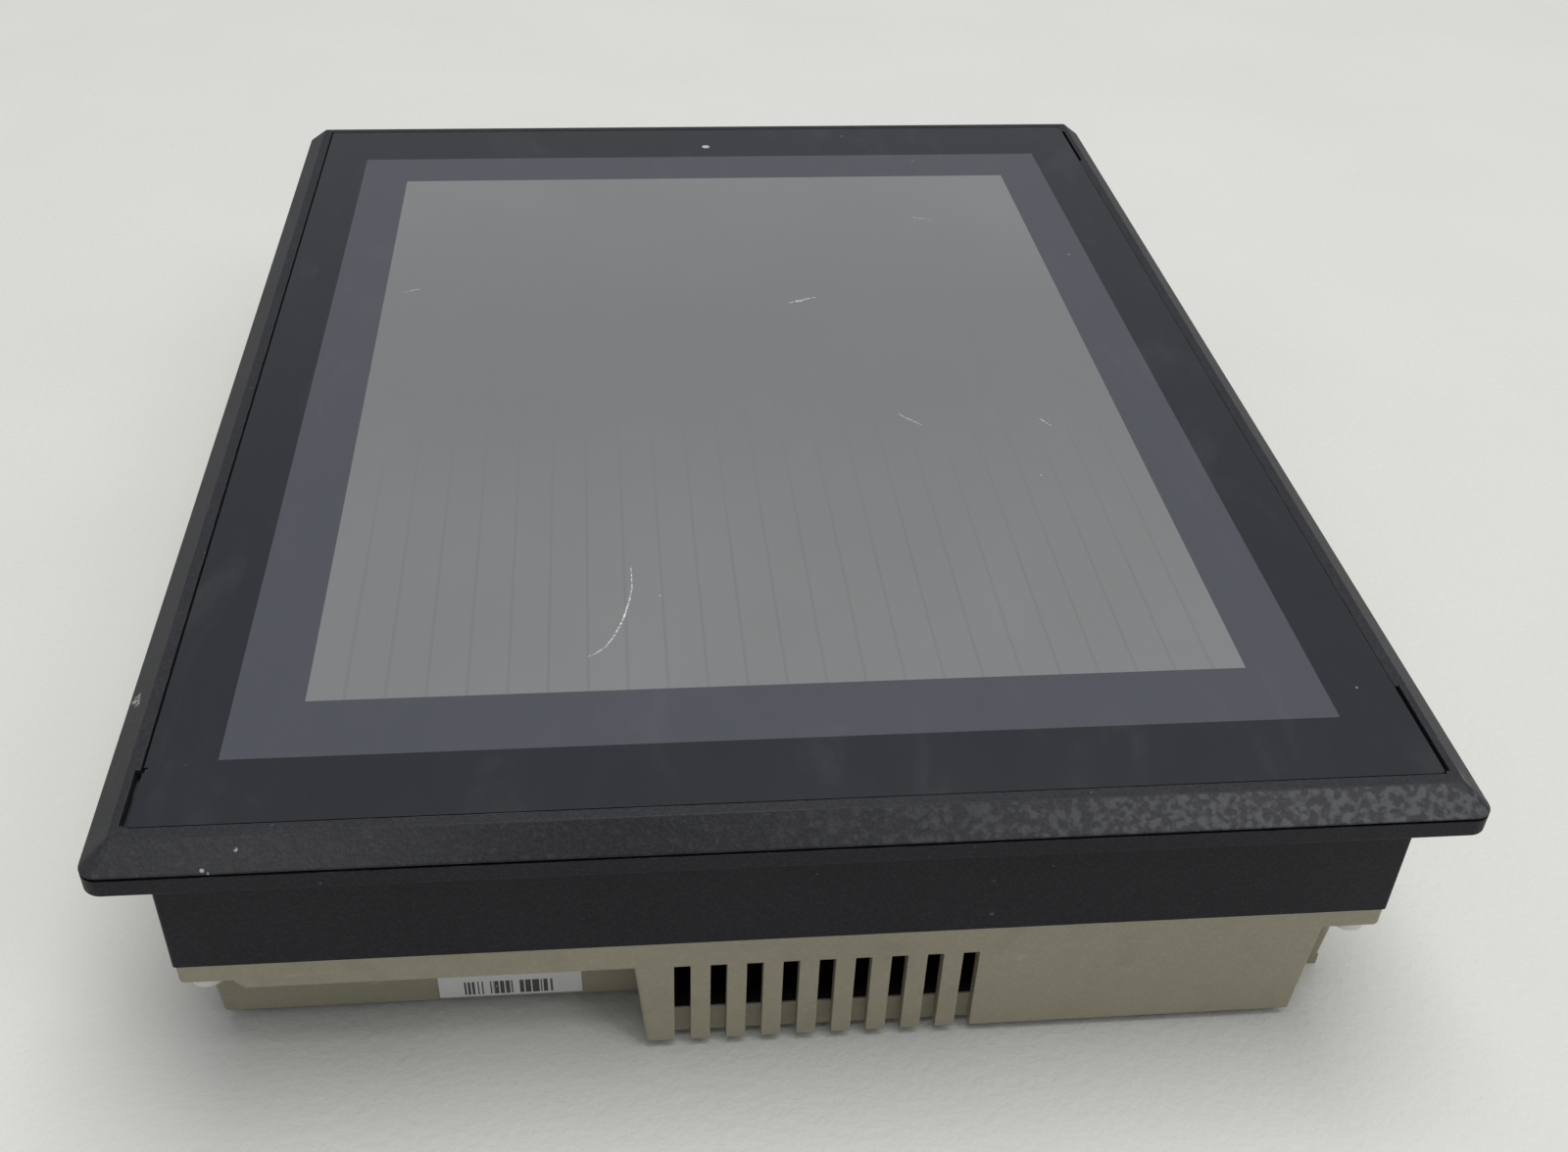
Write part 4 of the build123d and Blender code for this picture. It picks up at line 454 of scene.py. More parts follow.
def beige_look(with_inside_shade):
    look = Look("beige_case", Specular_IOR_Level=0.4)
    blotch = look.noise(24 * MM, 3.0)
    grain = look.noise(0.5 * MM, 3.0, 0.6)
    grime = look.step(look.noise(7 * MM, 5.0, 0.62), 0.5, 0.72)
    worn = look.step(look.noise(5 * MM, 4.0), 0.40, 0.62)
    wear = look.times(look.edges(0.25 * MM), worn, 0.5)
    drawn = look.noise(2.6 * MM, 5.0, 0.65, (0.35, 1.0, 1.0), 0.8)
    scuffs = look.times(look.step(drawn, 0.64, 0.74), 0.35)
    tone = look.mix(look.patchy(blotch, 0.5), CASE_BEIGE, shade(CASE_BEIGE, 0.86))
    tone = look.mix(look.step(grain, 0.4, 0.75, 0.0, 0.10), tone, BEIGE_PALE)
    tone = look.mix(look.times(grime, 0.22), tone, BEIGE_GRIME)
    tone = look.mix(look.math("MAXIMUM", wear, look.times(scuffs, 0.5)), tone, BEIGE_PALE)
    specks = look.times(look.specks(9 * MM, 0.22 * MM, 0.4), 0.6)
    tone = look.mix(specks, tone, BEIGE_SPECK)
    sheen = look.total(0.46, look.times(blotch, 0.08), look.times(grain, 0.1))
    if with_inside_shade:
        # painted shade: the inside is coloured near black, left off in the wells and within the
        # slots
        inside_end = rear_high.y - BOX_WALL
        main = look.rectangle(*MAIN_ROOM, 0.05 * MM)
        near_box = look.times(
            along(look, look.x, NEAR_BOX_LEFT, ROOM_RIGHT, 0.05 * MM),
            along(look, look.y, -inside_end, -ROOM_END, 0.03 * MM),
        )
        far_box = look.times(
            along(look, look.x, FAR_BOX_LEFT, ROOM_RIGHT, 0.05 * MM),
            along(look, look.y, ROOM_END, inside_end, 0.03 * MM),
        )
        rooms = look.math("MAXIMUM", main, look.math("MAXIMUM", near_box, far_box))
        painted_shade_inside = look.times(rooms, look.step(look.z, SKIN, SKIN + 0.1 * MM))
        open_wells = []
        for low, high, more in (
            (cover_low, cover_high, 0.6 * MM),
            (dip_low, dip_high, 3.2 * MM),
            (reset_low, reset_high, -0.6 * MM),
        ):
            open_wells.append(look.rectangle(*middle_and_half(low, high, more), 0.05 * MM))
        kept = look.step(look.total(*open_wells), 0.9, 0.1)
        tone = look.mix(look.times(painted_shade_inside, kept), tone, INSIDE_PAINTED_SHADE)
    look.colour(tone)
    look.roughness(sheen)
    look.relief(grain, 0.03 * MM, 0.2 * MM)
    return look


# the rear case, with painted shade on its inside
dress(beige_look(True), "rear_case")
dress(beige_look(False), "expansion_cover", "battery_cover", "card_door")

# ---------------------------------------------------------------- other moulded parts
SOCKET_BLACK = (0.016, 0.016, 0.017, 1.0)
TERMINAL_BLACK = (0.02, 0.021, 0.022, 1.0)
CHIP_BLACK = (0.02, 0.02, 0.021, 1.0)
PART_WHITE = (0.66, 0.66, 0.62, 1.0)
BUTTON_GREY = (0.075, 0.076, 0.08, 1.0)
SWITCH_BLUE = (0.01, 0.035, 0.22, 1.0)
SWITCH_PALE = (0.12, 0.18, 0.45, 1.0)
LEVER_WHITE = (0.70, 0.70, 0.67, 1.0)
dress(moulded("socket_black", SOCKET_BLACK, grey(0.10), 0.45, 0.3 * MM, 0.02 * MM),
      "battery_clip", "card_socket", "expansion_socket")
dress(moulded("terminal_plastic", TERMINAL_BLACK, grey(0.11), 0.42, 0.4 * MM, 0.02 * MM),
      "terminal_block")
dress(moulded("chip_black", CHIP_BLACK, grey(0.09), 0.55, 0.2 * MM, 0.02 * MM),
      "board_chips", "buzzer", "reset_switch")
dress(moulded("white_plastic", PART_WHITE, grey(0.8), 0.45, 0.4 * MM, 0.015 * MM),
      "board_connectors", "lcd_rear_pan")
dress(moulded("grey_button", BUTTON_GREY, grey(0.22), 0.45, 0.3 * MM, 0.02 * MM),
      "eject_button", "reset_button")
dress(moulded("switch_body", SWITCH_BLUE, SWITCH_PALE, 0.35, 0.25 * MM, 0.01 * MM),
      "dip_switch_body")
levers = [f"dip_lever_{count}" for count in range(1, 7)]
dress(moulded("lever_white", LEVER_WHITE, grey(0.85), 0.4, 0.2 * MM, 0.01 * MM), *levers)

# ---------------------------------------------------------------- rubber, foam and tape
dress(rubber("seal_rubber", (0.012, 0.012, 0.013, 1.0)), "panel_gasket")
dress(rubber("foam", (0.016, 0.016, 0.017, 1.0), 0.9, 0.7 * MM), "lcd_gasket")
dress(rubber("tape", (0.03, 0.03, 0.031, 1.0), 0.75, 1.1 * MM), "touch_seal_tape")

# ---------------------------------------------------------------- glass and film
dress(clear_plastic("clear_film", (0.75, 0.77, 0.78, 1.0), 0.12, 1.57), "touch_film")
dress(clear_plastic("clear_glass", (0.80, 0.86, 0.85, 1.0), 0.02, 1.52), "touch_glass")
dress(clear_plastic("acrylic", (0.88, 0.92, 0.92, 1.0), 0.04, 1.49), "light_guide")
dress(coated_film("display_cell", (0.07, 0.075, 0.08, 1.0), 0.2), "lcd_glass")
dress(coated_film("diffuser", (0.78, 0.78, 0.79, 1.0), 0.45),
      "diffuser_sheet", "reflector_sheet")


LAMP_WHITE = (0.80, 0.80, 0.74, 1.0)
LAMP_CREAM = (0.72, 0.72, 0.64, 1.0)
LAMP_END = (0.12, 0.10, 0.08, 1.0)


def lamp_look():
    """Coated tubes, darker at their ends."""
    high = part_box("backlight_lamps")[1]
    look = Look("lamp_glass", Coat_Weight=0.6)
    reach = look.math("ABSOLUTE", look.y)
    ends = look.step(reach, high.y - 6 * MM, high.y - 1 * MM)
    cloud = look.noise(4 * MM, 3.0)
    tone = look.mix(look.patchy(cloud, 0.3), LAMP_WHITE, LAMP_CREAM)
    look.colour(look.mix(look.times(ends, 0.7), tone, LAMP_END))
    look.roughness(look.total(0.2, look.times(cloud, 0.1)))
    return look


dress(lamp_look(), "backlight_lamps")


PIPE_PALE = (0.44, 0.46, 0.43, 1.0)
PIPE_GREY = (0.33, 0.35, 0.33, 1.0)
PIPE_RIM_SHADE = (0.16, 0.17, 0.16, 1.0)


def status_lamp_look():
    """A clear pin seen from its end, with painted shade round its rim."""
    x, y, _ = middle(*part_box("led_light_pipe"))
    look = Look("light_pipe", Coat_Weight=0.3)
    values = {0: look.stretched((1.0, 1.0, 0.0)), 1: (x, y, 0)}
    rings = look.add("ShaderNodeVectorMath", values, operation="DISTANCE").outputs["Value"]
    cloud = look.noise(0.5 * MM, 3.0)
    # painted shade: a darker ring round the pin's rim
    rim = look.step(rings, 0.55 * MM, 0.85 * MM)
    tone = look.mix(look.step(cloud, 0.35, 0.7, 0.0, 0.4), PIPE_PALE, PIPE_GREY)
    look.colour(look.mix(look.times(rim, 0.6), tone, PIPE_RIM_SHADE))
    look.roughness(look.total(0.28, look.times(cloud, 0.2)))
    look.relief(cloud, 0.01 * MM)
    return look


dress(status_lamp_look(), "led_light_pipe")
LED_GREEN = (0.16, 0.30, 0.16, 1.0)
LED_PALE = (0.4, 0.55, 0.4, 1.0)
dress(moulded("led", LED_GREEN, LED_PALE, 0.2, 0.3 * MM, 0.005 * MM, Coat_Weight=0.5),
      "status_led")

# ---------------------------------------------------------------- metal
STEEL = (0.60, 0.60, 0.585, 1.0)
dress(metal("steel_sheet", STEEL, 0.32, (1.0, 0.06, 1.0)), "chassis_plate", "lcd_front_frame")
dress(metal("screw_steel", (0.62, 0.615, 0.59, 1.0), 0.26),
      "board_screws", "case_screws", "chassis_screws", "port_jackscrews", "terminal_screws")
dress(metal("heat_sink_metal", (0.55, 0.56, 0.57, 1.0), 0.35, (0.06, 1.0, 1.0)), "heat_sink")
dress(metal("capacitor_can", (0.56, 0.56, 0.58, 1.0), 0.22, (1.0, 1.0, 0.08)), "board_capacitors")
dress(metal("brass_post", (0.62, 0.46, 0.18, 1.0), 0.28), "board_standoffs")


# dark inserts of the square sockets, in mm: how far they stay inside the shell's
# sides, its underside and its top
SQUARE_INSERTS = (
    ("ethernet_jack", 2.0, 1.75, 1.9),
    ("usb_host_socket", 0.8, 0.85, 1.15),
    ("usb_slave_socket", 1.75, 1.55, 1.55),
)
MOUTH_MARGIN = -0.8 * MM
SERIAL_FACE_REACH = 8.2 * MM
SERIAL_FACE_LEVELS = (9.9 * MM, 17.3 * MM)
SERIAL_HOLE_REACH = 6.4 * MM
SERIAL_HOLE_LEVELS = (11.5 * MM, 15.7 * MM)
SERIAL_BODY_FRONT = 59.2 * MM
INSERT_EDGE = 0.05 * MM


def port_look():
    """Plated shells, with a dark moulded insert inside each mouth and round the tongues."""
    look = Look("port_metal")
    lines = look.noise(0.5 * MM, 4.0, 0.6, (1.0, 0.2, 1.0))
    cloud = look.noise(5 * MM, 3.0)
    dull = look.step(look.noise(2.0 * MM, 4.0, 0.6), 0.5, 0.75)
    inserts = []
    for name, side, under, over in SQUARE_INSERTS:
        low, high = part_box(name)
        centre, (half_x, half_y) = middle_and_half(low, high)
        half = (half_x + MOUTH_MARGIN, half_y - side * MM)
        mouth = look.rectangle(centre, half, 0.03 * MM)
        levels = along(look, look.z, low.z + under * MM, high.z - over * MM, 0.03 * MM)
        inserts.append(look.times(mouth, levels))
    for name in ("serial_port_a", "serial_port_b"):
        low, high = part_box(name)
        y = middle(low, high)[1]
        face = look.times(
            along(look, look.y, y - SERIAL_FACE_REACH, y + SERIAL_FACE_REACH, INSERT_EDGE),
            along(look, look.z, *SERIAL_FACE_LEVELS, INSERT_EDGE),
            look.step(look.x, high.x - 0.25 * MM, high.x - 0.05 * MM),
        )
        holes = look.times(
            along(look, look.y, y - SERIAL_HOLE_REACH, y + SERIAL_HOLE_REACH, INSERT_EDGE),
            along(look, look.z, *SERIAL_HOLE_LEVELS, INSERT_EDGE),
            look.step(look.x, high.x - 4.2 * MM, high.x - 3.9 * MM),
        )
        body = look.times(
            along(look, look.y, low.y - 1 * MM, high.y + 1 * MM, INSERT_EDGE),
            look.step(look.x, SERIAL_BODY_FRONT + 0.1 * MM, SERIAL_BODY_FRONT - 0.1 * MM),
        )
        inserts += [face, holes, body]
    dark = look.step(look.total(*inserts), 0.1, 0.9)
    tone = look.mix(look.patchy(cloud, 0.3), STEEL, shade(STEEL, 0.8))
    tone = look.mix(look.times(dull, 0.25), tone, shade(STEEL, 0.45))
    look.colour(look.mix(dark, tone, SOCKET_BLACK))
    look.plug(look.step(dark, 0.9, 0.1), look.shader.inputs["Metallic"])
    uneven = look.total(0.28, look.times(lines, 0.15), look.times(dull, 0.2))
    look.roughness(look.total(uneven, look.times(dark, 0.15)))
    look.relief(lines, 0.006 * MM)
    return look


dress(port_look(),
      "ethernet_jack", "serial_port_a", "serial_port_b", "usb_host_socket", "usb_slave_socket")

# ---------------------------------------------------------------- boards and windings
BOARD_GREEN = (0.008, 0.055, 0.024, 1.0)
TRACK_GREEN = (0.018, 0.12, 0.05, 1.0)
VIA_TIN = (0.55, 0.54, 0.50, 1.0)
TRACK_PITCH = 0.9 * MM
WINDING_TAPE = (0.55, 0.38, 0.05, 1.0)
WINDING_DULL = (0.42, 0.28, 0.04, 1.0)
WINDING_LAP = (0.25, 0.16, 0.03, 1.0)
CABLE_FILM = (0.33, 0.15, 0.02, 1.0)
CABLE_TRACK = (0.52, 0.27, 0.06, 1.0)
CABLE_DULL = (0.24, 0.11, 0.02, 1.0)


def board_look():
    """Solder mask over tracks and planes, with plated through-holes."""
    look = Look("circuit_board", Coat_Weight=0.35, Coat_Roughness=0.2)
    bend = look.times(look.noise(14 * MM, 1.0), 9 * MM)
    lanes_x = stripes(look, look.total(look.x, bend), TRACK_PITCH, 0.35)
    lanes_y = stripes(look, look.total(look.y, bend), TRACK_PITCH, 0.35)
    turn = look.step(look.noise(11 * MM, 0.0), 0.49, 0.51)
    lanes = look.mix(turn, lanes_x, lanes_y)
    plane = look.step(look.noise(17 * MM, 1.0), 0.52, 0.54)
    copper = look.math("MAXIMUM", plane, lanes)
    vias = look.specks(3.1 * MM, 0.42 * MM, 0.5)
    look.colour(look.mix(vias, look.mix(copper, BOARD_GREEN, TRACK_GREEN), VIA_TIN))
    cloud = look.noise(8 * MM, 3.0)
    look.roughness(look.total(0.3, look.times(cloud, 0.12)))
    look.relief(look.total(look.times(copper, 0.5), vias), 0.03 * MM)
    return look


def winding_look():
    look = Look("transformer", Coat_Weight=0.3)
    laps = stripes(look, look.z, 1.6 * MM, 0.12)
    cloud = look.noise(2 * MM, 3.0)
    tone = look.mix(look.patchy(cloud, 0.4), WINDING_TAPE, WINDING_DULL)
    look.colour(look.mix(look.times(laps, 0.6), tone, WINDING_LAP))
    look.roughness(look.total(0.25, look.times(cloud, 0.15)))
    look.relief(laps, 0.03 * MM)
    return look


def flat_cable_look():
    look = Look("flat_cable", Coat_Weight=0.4, Coat_Roughness=0.15)
    tracks = stripes(look, look.x, 1.0 * MM, 0.55)
    cloud = look.noise(7 * MM, 3.0)
    tone = look.mix(tracks, CABLE_FILM, CABLE_TRACK)
    look.colour(look.mix(look.patchy(cloud, 0.35), tone, CABLE_DULL))
    look.roughness(look.total(0.22, look.times(cloud, 0.15)))
    look.relief(tracks, 0.02 * MM)
    return look


dress(board_look(), "main_board", "inverter_board")
dress(winding_look(), "inverter_transformers")
dress(flat_cable_look(), "lcd_cable", "touch_tail")

# ---------------------------------------------------------------- battery and labels
SLEEVE_SILVER = (0.66, 0.68, 0.70, 1.0)
SLEEVE_DULL = (0.58, 0.60, 0.62, 1.0)
SLEEVE_BLUE = (0.05, 0.16, 0.32, 1.0)
CELL_STEEL = (0.62, 0.61, 0.58, 1.0)


def battery_look():
    """A printed sleeve with a coloured band, and bare metal at both ends."""
    low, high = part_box("battery")
    look = Look("battery_sleeve", Coat_Weight=0.3)
    wrinkle = look.noise(1.4 * MM, 3.0, 0.5, (1.0, 0.25, 1.0))
    cloud = look.noise(5 * MM, 3.0)
    cap = look.step(look.y, high.y - 1.7 * MM, high.y - 1.5 * MM)
    foot = look.step(look.y, low.y + 0.6 * MM, low.y + 0.4 * MM)
    bare = look.math("MAXIMUM", cap, foot)
    band = along(look, look.y, high.y - 6.5 * MM, high.y - 4.5 * MM, 0.05 * MM)
    tone = look.mix(look.patchy(cloud, 0.3), SLEEVE_SILVER, SLEEVE_DULL)
    tone = look.mix(band, tone, SLEEVE_BLUE)
    look.colour(look.mix(bare, tone, CELL_STEEL))
    look.plug(bare, look.shader.inputs["Metallic"])
    look.roughness(look.total(0.28, look.times(wrinkle, 0.12)))
    look.relief(wrinkle, 0.02 * MM)
    return look


dress(battery_look(), "battery")

tag_low, tag_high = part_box("barcode_label")
plate_low, plate_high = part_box("rating_label")
PAPER = (0.69, 0.69, 0.67, 1.0)
PAPER_SOIL = (0.50, 0.49, 0.44, 1.0)
INK = (0.02, 0.02, 0.022, 1.0)
INK_EDGE = 0.04 * MM
BAR_UNIT = 0.2 * MM
BARS_LEFT = 6.6 * MM
BARS_RIGHT = 6.0 * MM
BARS_LOW = 0.4 * MM
BARS_HIGH = 3.3 * MM
RULES = (-30, -22, -14, 6, 14, 30)     # lines across the large label, in mm from the middle
RULE_HALF = 0.12
FRAME_X = 13.0 * MM
FRAME_Y = 30.1 * MM


def label_look():
    """Printed film: plain bars on the small label, blank ruled boxes on the large one."""
    look = Look("label_paper")
    on_wall = look.step(look.y, -60 * MM, -80 * MM)
    on_back = look.step(look.y, -80 * MM, -60 * MM)
    # bars of uneven width, drawn from the cells of a one-way noise
    cell = look.math("FLOOR", look.times(look.x, 1.0 / BAR_UNIT))
    lot = look.add("ShaderNodeTexWhiteNoise", {"W": cell}, noise_dimensions="1D").outputs["Value"]
    middle_x = middle(tag_low, tag_high)[0]
    bars = look.times(
        look.step(lot, 0.56, 0.54),
        along(look, look.x, middle_x - BARS_LEFT, middle_x + BARS_RIGHT, INK_EDGE),
        along(look, look.z, tag_low.z + BARS_LOW, tag_low.z + BARS_HIGH, INK_EDGE),
        on_wall,
    )
    plate_x = middle(plate_low, plate_high)[0]
    across = look.math("ABSOLUTE", look.math("SUBTRACT", look.x, plate_x))
    rules = []
    for offset in RULES:
        low, high = (offset - RULE_HALF) * MM, (offset + RULE_HALF) * MM
        rules.append(along(look, look.y, low, high, INK_EDGE))
    sides = along(look, across, FRAME_X - 0.1 * MM, FRAME_X + 0.1 * MM, INK_EDGE)
    frame_lines = look.times(
        look.math("MAXIMUM", look.total(*rules), sides),
        look.step(across, FRAME_X + 0.2 * MM, FRAME_X + 0.1 * MM),
        look.step(look.math("ABSOLUTE", look.y), FRAME_Y + 0.1 * MM, FRAME_Y),
        on_back,
    )
    ink = look.math("MAXIMUM", bars, look.times(frame_lines, 0.8))
    fibre = look.noise(0.6 * MM, 3.0)
    soil = look.step(look.noise(6 * MM, 4.0, 0.6), 0.5, 0.75)
    rubbed = look.step(look.noise(0.8 * MM, 3.0, 0.6), 0.68, 0.72)
    tone = look.mix(look.times(soil, 0.25), PAPER, PAPER_SOIL)
    fresh = look.step(rubbed, 1.0, 0.0)
    look.colour(look.mix(look.times(ink, fresh, 0.93), tone, INK))
    look.roughness(look.total(0.36, look.times(fibre, 0.12), look.times(soil, 0.1)))
    look.relief(fibre, 0.008 * MM)
    return look


dress(label_look(), "barcode_label", "rating_label")


# ---------------------------------------------------------------- small pieces
class Shape:
    """A mesh put together from small detailed forms."""

    def __init__(self):
        self.points = []
        self.faces = []

    def rings(self, rings):
        """Skins a row of rings that have the same number of points, and closes its ends."""
        start = len(self.points)
        count = len(rings[0])
        for ring in rings:
            self.points += [tuple(point) for point in ring]
        for level in range(len(rings) - 1):
            for i in range(count):
                a = start + level * count + i
                b = start + level * count + (i + 1) % count
                self.faces.append((a, b, b + count, a + count))
        last = start + (len(rings) - 1) * count
        self.faces.append(tuple(reversed(range(start, start + count))))
        self.faces.append(tuple(range(last, last + count)))

    def bar(self, low, high, cut):
        """A box with chamfered edges all round."""
        low, high = Vector(low), Vector(high)
        levels = ((low.z, cut), (low.z + cut, 0.0), (high.z - cut, 0.0), (high.z, cut))
        rings = []
        for z, back in levels:
            x0, x1, y0, y1 = low.x + back, high.x - back, low.y + back, high.y - back
            rings.append([
                (x0 + cut, y0, z), (x1 - cut, y0, z), (x1, y0 + cut, z), (x1, y1 - cut, z),
                (x1 - cut, y1, z), (x0 + cut, y1, z), (x0, y1 - cut, z), (x0, y0 + cut, z),
            ])
        self.rings(rings)

    def turned(self, start, axis, profile, sides):
        """A turned form: profile is (distance along the axis, radius) pairs."""
        axis = Vector(axis).normalized()
        side = axis.orthogonal().normalized()
        other = axis.cross(side)
        rings = []
        for reach, radius in profile:
            centre = Vector(start) + axis * reach
            ring = []
            for i in range(sides):
                angle = 2 * math.pi * i / sides
                ring.append(centre + (side * math.cos(angle) + other * math.sin(angle)) * radius)
            rings.append(ring)
        self.rings(rings)

    def strip(self, points, widths, normal, thick):
        """A flat strip along points, with its own width at each."""
        normal = Vector(normal).normalized()
        points = [Vector(point) for point in points]
        rings = []
        for i, point in enumerate(points):
            ahead = points[min(i + 1, len(points) - 1)] - points[max(i - 1, 0)]
            side = ahead.cross(normal).normalized() * (widths[i] / 2)
            up = normal * (thick / 2)
            rings.append([
                point - side - up, point + side - up, point + side + up, point - side + up,
            ])
        self.rings(rings)

    def piece(self, name, look, slot, smooth=False):
        mesh = bpy.data.meshes.new(name)
        mesh.from_pydata([tuple(point) for point in self.points], [], self.faces)
        mesh.update()
        if smooth:
            for face in mesh.polygons:
                face.use_smooth = True
        mesh.materials.append(look.material)
        piece = bpy.data.objects.new(name, mesh)
        bpy.context.collection.objects.link(piece)
        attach(piece, "terminal")


GOLD = (0.78, 0.56, 0.20, 1.0)
gold = metal("contact_gold", GOLD, 0.2, (0.3, 1.0, 1.0), 0.15)
tin = metal("contact_tin", (0.66, 0.66, 0.65, 1.0), 0.25)


# contact pins: distance along the pin and radius, in mm
SERIAL_PIN = ((0, 0.52), (3.1, 0.52), (3.25, 0.44), (3.2, 0.33), (2.2, 0.30), (0.2, 0.30))
SERIAL_ROWS = ((5, 15.02 * MM), (4, 12.18 * MM))
SERIAL_PITCH = 2.76 * MM
CARD_PIN = ((0, 0.2), (4.2, 0.2), (4.6, 0.16), (4.9, 0.07))
CARD_ROWS = (16.6 * MM, 17.87 * MM)
CARD_PITCH = 1.27 * MM
CARD_PINS = 25


def millimetres(pairs):
    return [(a * MM, b * MM) for a, b in pairs]


def serial_contacts():
    shape = Shape()
    for name in ("serial_port_a", "serial_port_b"):
        low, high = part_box(name)
        middle_y = middle(low, high)[1]
        for count, z in SERIAL_ROWS:
            for i in range(count):
                y = middle_y + SERIAL_PITCH * (i - (count - 1) / 2)
                start = (high.x - 3.95 * MM, y, z)
                shape.turned(start, (1, 0, 0), millimetres(SERIAL_PIN), 12)
    shape.piece("serial_contacts", gold, "screw_steel", smooth=True)


# spring contacts: distance in from the mouth and height, in mm
NETWORK_SPRING = ((1.6, 9.0), (3.4, 9.3), (6.0, 10.6), (8.6, 12.0), (9.4, 12.2), (11.9, 11.4))
NETWORK_PITCH = 1.02 * MM
HOST_SPRING = ((1.9, 17.18), (2.4, 17.12), (8.0, 17.12), (11.0, 17.16))
# on the slave socket's tongue: distance in, and how far each point stands off the tongue
SLAVE_SPRING = ((2.4, 0.1), (2.9, 0.0), (8.0, 0.0), (10.4, 0.05))
SLAVE_FACES = ((13.34, -1), (16.66, 1))
CONTACT_THICK = 0.12 * MM


def network_contacts():
    """Eight spring contacts that lean into the network socket."""
    low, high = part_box("ethernet_jack")
    shape = Shape()
    for i in range(8):
        y = middle(low, high)[1] + NETWORK_PITCH * (i - 3.5)
        points = [(high.x - a * MM, y, z * MM) for a, z in NETWORK_SPRING]
        shape.strip(points, [0.42 * MM] * len(points), (0.3, 0, 1), 0.22 * MM)
    shape.piece("network_contacts", gold, "screw_steel")


def usb_contacts():
    shape = Shape()
    low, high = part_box("usb_host_socket")
    for offset in (-3.5, -1.0, 1.0, 3.5):
        y = middle(low, high)[1] + offset * MM
        points = [(high.x - a * MM, y, z * MM) for a, z in HOST_SPRING]
        shape.strip(points, [0.7 * MM] + [1.0 * MM] * 3, (0, 0, 1), CONTACT_THICK)
    low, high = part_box("usb_slave_socket")
    for z, sign in SLAVE_FACES:
        for offset in (-1.25, 1.25):
            y = middle(low, high)[1] + offset * MM
            points = [(high.x - a * MM, y, (z - sign * b) * MM) for a, b in SLAVE_SPRING]
            shape.strip(points, [0.6 * MM] + [0.9 * MM] * 3, (0, 0, 1), CONTACT_THICK)
    shape.piece("usb_contacts", gold, "screw_steel")


# ground springs: distance in from the mouth, and how far each point stands off the shell, in mm
SHELL_SPRING = ((1.0, 0.08), (2.2, 0.30), (4.2, 0.42), (6.4, 0.24), (7.4, 0.05))


def shell_springs():
    """Ground springs pressed out of the sides of the network and USB shells."""
    shape = Shape()
    widths = [1.2 * MM, 1.8 * MM, 2.0 * MM, 2.0 * MM, 2.0 * MM]
    for name, height in (("ethernet_jack", 13.0), ("usb_host_socket", 16.8)):
        low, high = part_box(name)
        for face, side in ((low.y, -1), (high.y, 1)):
            points = []
            for a, b in SHELL_SPRING:
                points.append((high.x - a * MM, face + side * b * MM, height * MM))
            shape.strip(points, widths, (0, side, 0), 0.2 * MM)
    shape.piece("shell_springs", tin, "port_metal")


def card_contacts():
    """Two rows of pins at the back of the card socket."""
    low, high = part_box("card_socket")
    shape = Shape()
    for z in CARD_ROWS:
        for i in range(CARD_PINS):
            x = middle(low, high)[0] + CARD_PITCH * (i - (CARD_PINS - 1) / 2)
            shape.turned((x, low.y + 5.9 * MM, z), (0, 1, 0), millimetres(CARD_PIN), 8)
    shape.piece("card_contacts", gold, "screw_steel")


def battery_terminals():
    """Spring clips that touch the two ends of the battery."""
    low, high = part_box("battery")
    x, _, z = middle(low, high)
    widths = [3.4 * MM, 3.4 * MM, 3.0 * MM, 2.6 * MM, 2.6 * MM, 2.2 * MM]
    shape = Shape()
    for end, side, lean in ((low.y, -1, 0.5), (high.y, 1, 0.3)):
        points = []
        # how far each point stands off the battery's end, and above its middle
        for away, above in (
            (1.3, 5.0), (1.1, 3.4), (lean + 0.1, 1.2), (0.12, 0.0), (lean + 0.1, -1.4), (1.0, -2.2),
        ):
            points.append((x, end + side * away * MM, z + above * MM))
        shape.strip(points, widths, (0, side, 0), 0.25 * MM)
    shape.piece("battery_terminals", tin, "screw_steel")


# marks on the front sheet: points in X and Y, and greatest width, in mm
LONG_SCRATCH = (
    (-20.65, -59.2), (-20.60, -61.5), (-20.62, -64.9), (-20.95, -67.3), (-21.45, -69.6),
    (-21.95, -71.9), (-22.65, -74.1), (-23.55, -76.4), (-24.65, -78.5), (-25.95, -79.8),
    (-27.4, -80.7),
)
SCRATCHES = (
    (LONG_SCRATCH, 0.26),
    (((11.2, 24.0), (12.4, 24.7), (13.8, 25.1), (15.2, 25.8), (16.8, 26.3)), 0.34),
    (((12.4, 24.1), (13.3, 24.7), (14.1, 24.8)), 0.24),
    (((25.8, -17.3), (26.9, -18.9), (28.0, -19.9), (29.2, -21.2)), 0.22),
    (((49.5, -19.6), (50.2, -20.9), (51.1, -22.4)), 0.20),
    (((-61.0, 31.0), (-59.4, 31.9), (-57.9, 32.4)), 0.15),
    (((40.2, 62.0), (41.8, 61.2), (43.4, 61.0), (44.8, 60.3)), 0.16),
)
SCRATCH_PROUD = 0.006 * MM
SCRATCH_THICK = 0.008 * MM
SCRATCH_GREY = (0.20, 0.20, 0.205, 1.0)
SCRATCH_WHITE = (0.62, 0.62, 0.61, 1.0)


